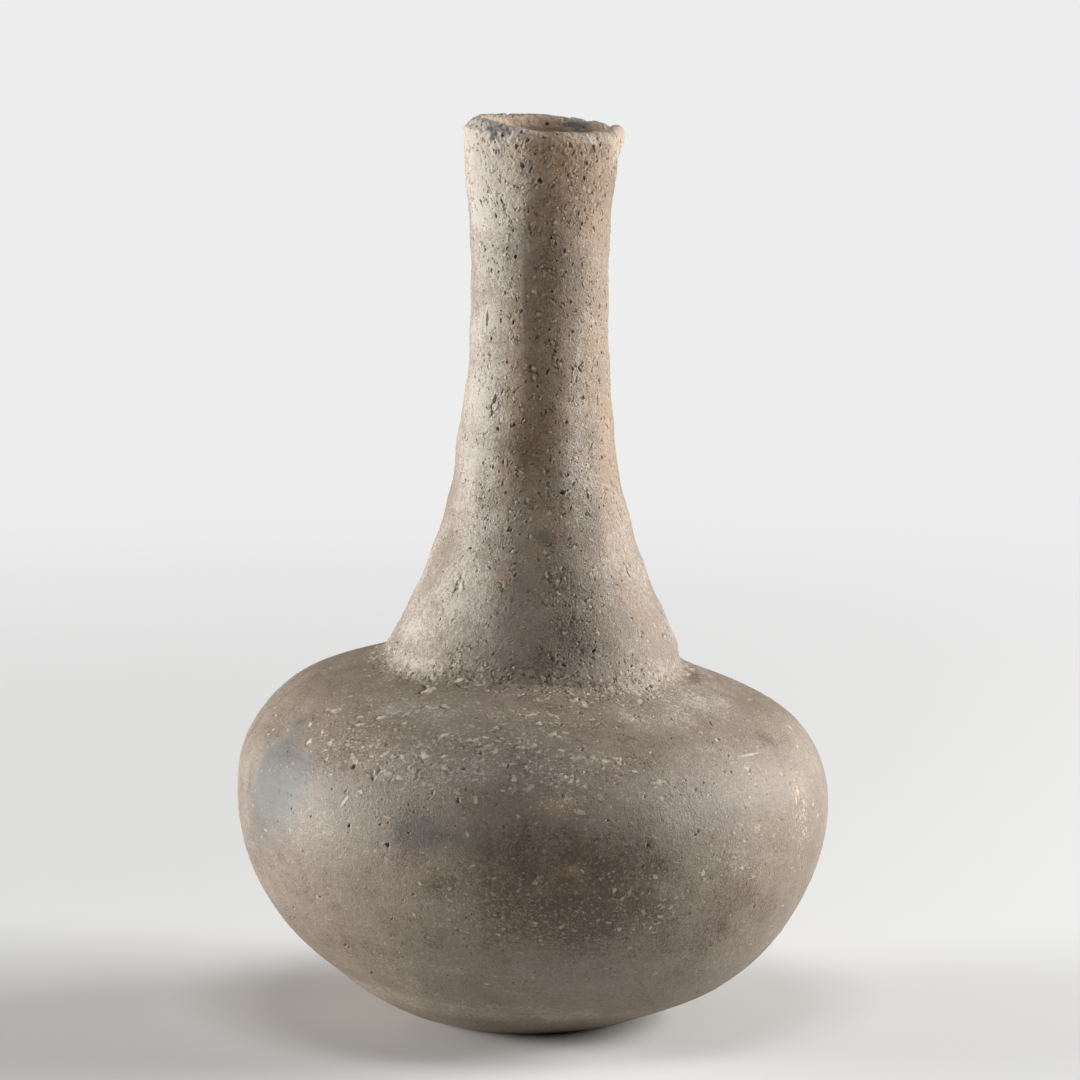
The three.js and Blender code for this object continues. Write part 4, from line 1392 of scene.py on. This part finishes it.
# How dark the painted shade in pores is and how pale flecks are, how chips are worn, and what lifts and
# roughens the surface
PORE_SHADE, FLECK_COVER = 0.7, 0.8
CHIP_RAGGED, CHIP_COVER, CHIP_GRAIN, CHIP_WORN = 0.8, (0.45, 0.65), (0.35, 0.6), (0.45, 1.0)
BUMP_HEIGHT, BUMP_BODY, BUMP_NECK, BUMP_FLECK, BUMP_PORE = 0.3, 0.5, 0.45, 0.2, -0.6
ROUGH_MOTTLE, ROUGH_NECK, ROUGH_HOLE = 0.3, 0.16, 0.25


def clay_colour(nodes, grains, fleck, hole_shade, contrast):
    """The colour of the clay with its flecks and chips, and painted shade in its holes."""
    colour = ground(nodes, grains, contrast)
    colour = nodes.mix(nodes.math("MULTIPLY", fleck, FLECK_COVER), colour, TEMPER)
    ragged = nodes.about(nodes.clumps(nodes.place(), *RAGGED), CHIP_RAGGED, nodes.mask("flake"))
    chip = nodes.math("MULTIPLY", nodes.span(ragged, *CHIP_COVER), nodes.mask("pale"))
    chip = nodes.math("MULTIPLY", chip, nodes.span(grains.fine, *CHIP_GRAIN, *CHIP_WORN))
    return nodes.mix(hole_shade, nodes.mix(chip, colour, CREAM), HOLE_SHADE)


def clay_bump(nodes, grains, fleck, pore):
    """The finest relief of the clay: grit, flecks and pores."""
    lumps = nodes.math("MULTIPLY_ADD", nodes.mask("neck"), BUMP_NECK, BUMP_BODY)
    grit = nodes.clumps(nodes.place(), *GRIT)
    height = nodes.math("MULTIPLY", nodes.math("ADD", grains.fine, grit), lumps)
    height = nodes.math("MULTIPLY_ADD", fleck, BUMP_FLECK, height)
    height = nodes.math("MULTIPLY_ADD", pore, BUMP_PORE, height)
    values = {"Height": height, "Strength": 1.0, "Distance": BUMP_HEIGHT * MM}
    return nodes.add("ShaderNodeBump", values).outputs["Normal"]


def clay_roughness(nodes, grains, hole_shade, roughness):
    """The roughness of the clay about a middle value: more on the neck and in holes."""
    rough = nodes.math("MULTIPLY_ADD", grains.mottle, ROUGH_MOTTLE, roughness - ROUGH_MOTTLE / 2)
    rough = nodes.math("MULTIPLY_ADD", nodes.mask("neck"), ROUGH_NECK, rough)
    return nodes.math("MULTIPLY_ADD", hole_shade, ROUGH_HOLE, rough, clamp=True)


Clay = namedtuple("Clay", "slot temper roughness contrast shine")
FIRED_CLAY = Clay("fired_clay", 1.0, 0.55, 0.85, 0.4)
LIP_CLAY = Clay("lip_clay", 0.7, 0.7, 0.8, 0.3)
LUTING_CLAY = Clay("luting_clay", 1.6, 0.8, 1.0, 0.25)


def clay(kind):
    """Fired clay: mottled, flecked with pale temper and pricked with pores, with painted shade in its pores
    and pits.
    """
    nodes = Nodes(kind.slot)
    grains = grain(nodes)
    fleck, pore = flecks(nodes, kind.temper), pores(nodes)
    hole_shade = nodes.math("MAXIMUM", nodes.mask("pit_shade"), nodes.math("MULTIPLY", pore, PORE_SHADE))
    sockets = nodes.shader.inputs
    nodes.put(sockets["Base Color"], clay_colour(nodes, grains, fleck, hole_shade, kind.contrast))
    nodes.put(sockets["Roughness"], clay_roughness(nodes, grains, hole_shade, kind.roughness))
    nodes.put(sockets["Normal"], clay_bump(nodes, grains, fleck, pore))
    sockets["Specular IOR Level"].default_value = kind.shine
    return nodes.material


# Light, floor and camera, in metres

Softbox = namedtuple("Softbox", "name place target wide tall power")
SOFTBOXES = [
    Softbox("left_softbox", (-1.4, 0.12, 0.16), (0, 0, 0.15), 0.7, 0.6, 40.0),
    Softbox("right_softbox", (1.35, 0.26, 0.55), (0, 0, 0.15), 1.1, 0.6, 34.5),
    Softbox("top_softbox", (0, -0.34, 1.37), (0, 0, 0.1), 0.6, 0.5, 4.5),
]
FLOOR_COLOUR, FLOOR_BOUNCE = (0.78, 0.78, 0.77, 1.0), (0.55, 0.55, 0.54, 1.0)
FLOOR_RADIUS, FLOOR_SIDES, FLOOR_ROUGHNESS = 8.0, 96, 0.9
SHADOW_REACH, BACKDROP_START = 0.15, 0.9
AMBIENT, BACKGROUND = 0.025, 0.85


def aimed(holder, place, target):
    """Puts a lamp or camera at a place and turns it to a target."""
    holder.location = place
    holder.rotation_euler = (Vector(target) - Vector(place)).to_track_quat("-Z", "Y").to_euler()
    bpy.context.scene.collection.objects.link(holder)


def softbox(box):
    """A soft studio lamp."""
    lamp = bpy.data.lights.new(box.name, "AREA")
    lamp.shape = "RECTANGLE"
    lamp.size, lamp.size_y = box.wide, box.tall
    lamp.energy = box.power
    holder = bpy.data.objects.new(box.name, lamp)
    holder.visible_camera = False
    aimed(holder, box.place, box.target)


def light():
    """Softboxes at both sides, a weak one above, and a little light from all round."""
    for box in SOFTBOXES:
        softbox(box)
    world = bpy.data.worlds.new("studio")
    world.use_nodes = True
    bpy.context.scene.world = world
    nodes, links = world.node_tree.nodes, world.node_tree.links
    path = nodes.new("ShaderNodeLightPath")
    level = nodes.new("ShaderNodeMapRange")
    level.inputs["To Min"].default_value = AMBIENT
    level.inputs["To Max"].default_value = BACKGROUND
    links.new(path.outputs["Is Camera Ray"], level.inputs["Value"])
    links.new(level.outputs[0], nodes["Background"].inputs["Strength"])
    nodes["Background"].inputs["Color"].default_value = (1, 1, 1, 1)


def floor():
    """A plain pale floor, clear when it is seen from below."""
    mesh = bpy.data.meshes.new("floor")
    angles = [2 * math.pi * k / FLOOR_SIDES for k in range(FLOOR_SIDES)]
    rim = [(FLOOR_RADIUS * math.cos(a), FLOOR_RADIUS * math.sin(a), 0) for a in angles]
    mesh.from_pydata(rim, [], [list(range(FLOOR_SIDES))])
    nodes = Nodes("floor")
    nodes.shader.inputs["Roughness"].default_value = FLOOR_ROUGHNESS
    path = nodes.add("ShaderNodeLightPath").outputs
    seen = nodes.math("MAXIMUM", path["Is Camera Ray"], path["Is Glossy Ray"])
    seen = nodes.math("MAXIMUM", seen, path["Is Transmission Ray"])
    nodes.put(nodes.shader.inputs["Base Color"], nodes.mix(seen, FLOOR_BOUNCE, FLOOR_COLOUR))
    point = nodes.add("ShaderNodeTexCoord").outputs["Object"]
    away = nodes.add("ShaderNodeVectorMath", {0: point}, operation="LENGTH").outputs["Value"]
    far = nodes.math("MULTIPLY", seen, nodes.span(away, SHADOW_REACH, BACKDROP_START))
    pale = nodes.add("ShaderNodeEmission", {"Strength": BACKGROUND}).outputs[0]
    above = nodes.add("ShaderNodeMixShader", {0: far, 1: nodes.shader.outputs[0], 2: pale})
    clear = nodes.add("ShaderNodeBsdfTransparent").outputs[0]
    under = nodes.add("ShaderNodeNewGeometry").outputs["Backfacing"]
    both = nodes.add("ShaderNodeMixShader", {0: under, 1: above.outputs[0], 2: clear})
    output = nodes.tree.nodes["Material Output"]
    nodes.put(output.inputs["Surface"], both.outputs[0])
    mesh.materials.append(nodes.material)
    holder = bpy.data.objects.new("floor", mesh)
    bpy.context.scene.collection.objects.link(holder)


CAMERA_ASIDE = 2.7 * MM
CAMERA_PLACE, CAMERA_TARGET = (CAMERA_ASIDE, -2.0, 0.48), (CAMERA_ASIDE, 0, 133.3 * MM)
CAMERA_LENS, CAMERA_SENSOR = 244.9, 36.0


def camera():
    """The camera at the photograph's viewing angle."""
    data = bpy.data.cameras.new("camera")
    data.lens, data.sensor_width = CAMERA_LENS, CAMERA_SENSOR
    holder = bpy.data.objects.new("camera", data)
    aimed(holder, CAMERA_PLACE, CAMERA_TARGET)
    bpy.context.scene.camera = holder


# Putting the bottle together

def node_names():
    """The courses of clay from the base to the lip."""
    lower = [f"lower_wall_coil_{k}" for k in range(1, LOWER_COILS + 1)]
    shoulder = [f"shoulder_coil_{k}" for k in range(1, SHOULDER_COILS + 1)]
    neck = [f"neck_coil_{k}" for k in range(1, NECK_COILS + 1)]
    return ["base_pat", *lower, *shoulder, *neck, "lip_coil"]


def show(piece, node, material):
    """Makes a piece's object, which stands for a node."""
    mesh = piece.mesh(node + "_clay")
    mesh.materials.append(material)
    mesh.polygons.foreach_set("use_smooth", np.ones(len(mesh.polygons), bool))
    shown = bpy.data.objects.new(node + "_clay", mesh)
    bpy.context.scene.collection.objects.link(shown)
    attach(shown, "root")
    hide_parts(node)


def bottle():
    """All pieces of the bottle."""
    section = Section()
    skin = Skin(section)
    for step in (swell, facet, ripple, roughen, colour, flake, scatter, wear_lip, mark, settle):
        step(skin)
    points = surface(skin, skin.relief)
    normal = normals(points)
    steps = course_steps(section)
    fired, rim, smear = clay(FIRED_CLAY), clay(LIP_CLAY), clay(LUTING_CLAY)
    for number, node in enumerate(node_names()):
        piece = Piece(points, normal, skin.masks)
        if node == "base_pat":
            base_pat(section, steps, piece)
            show(piece, node, fired)
        elif node == "lip_coil":
            lip_coil(section, steps, piece)
            show(piece, node, rim)
        else:
            coil(section, steps, number, piece)
            show(piece, node, fired)
    piece = luting_piece(skin, normal)
    neck_luting(section, piece)
    show(piece, "neck_luting", smear)


bpy.context.scene.view_settings.view_transform = "Standard"
camera()
light()
floor()
bottle()
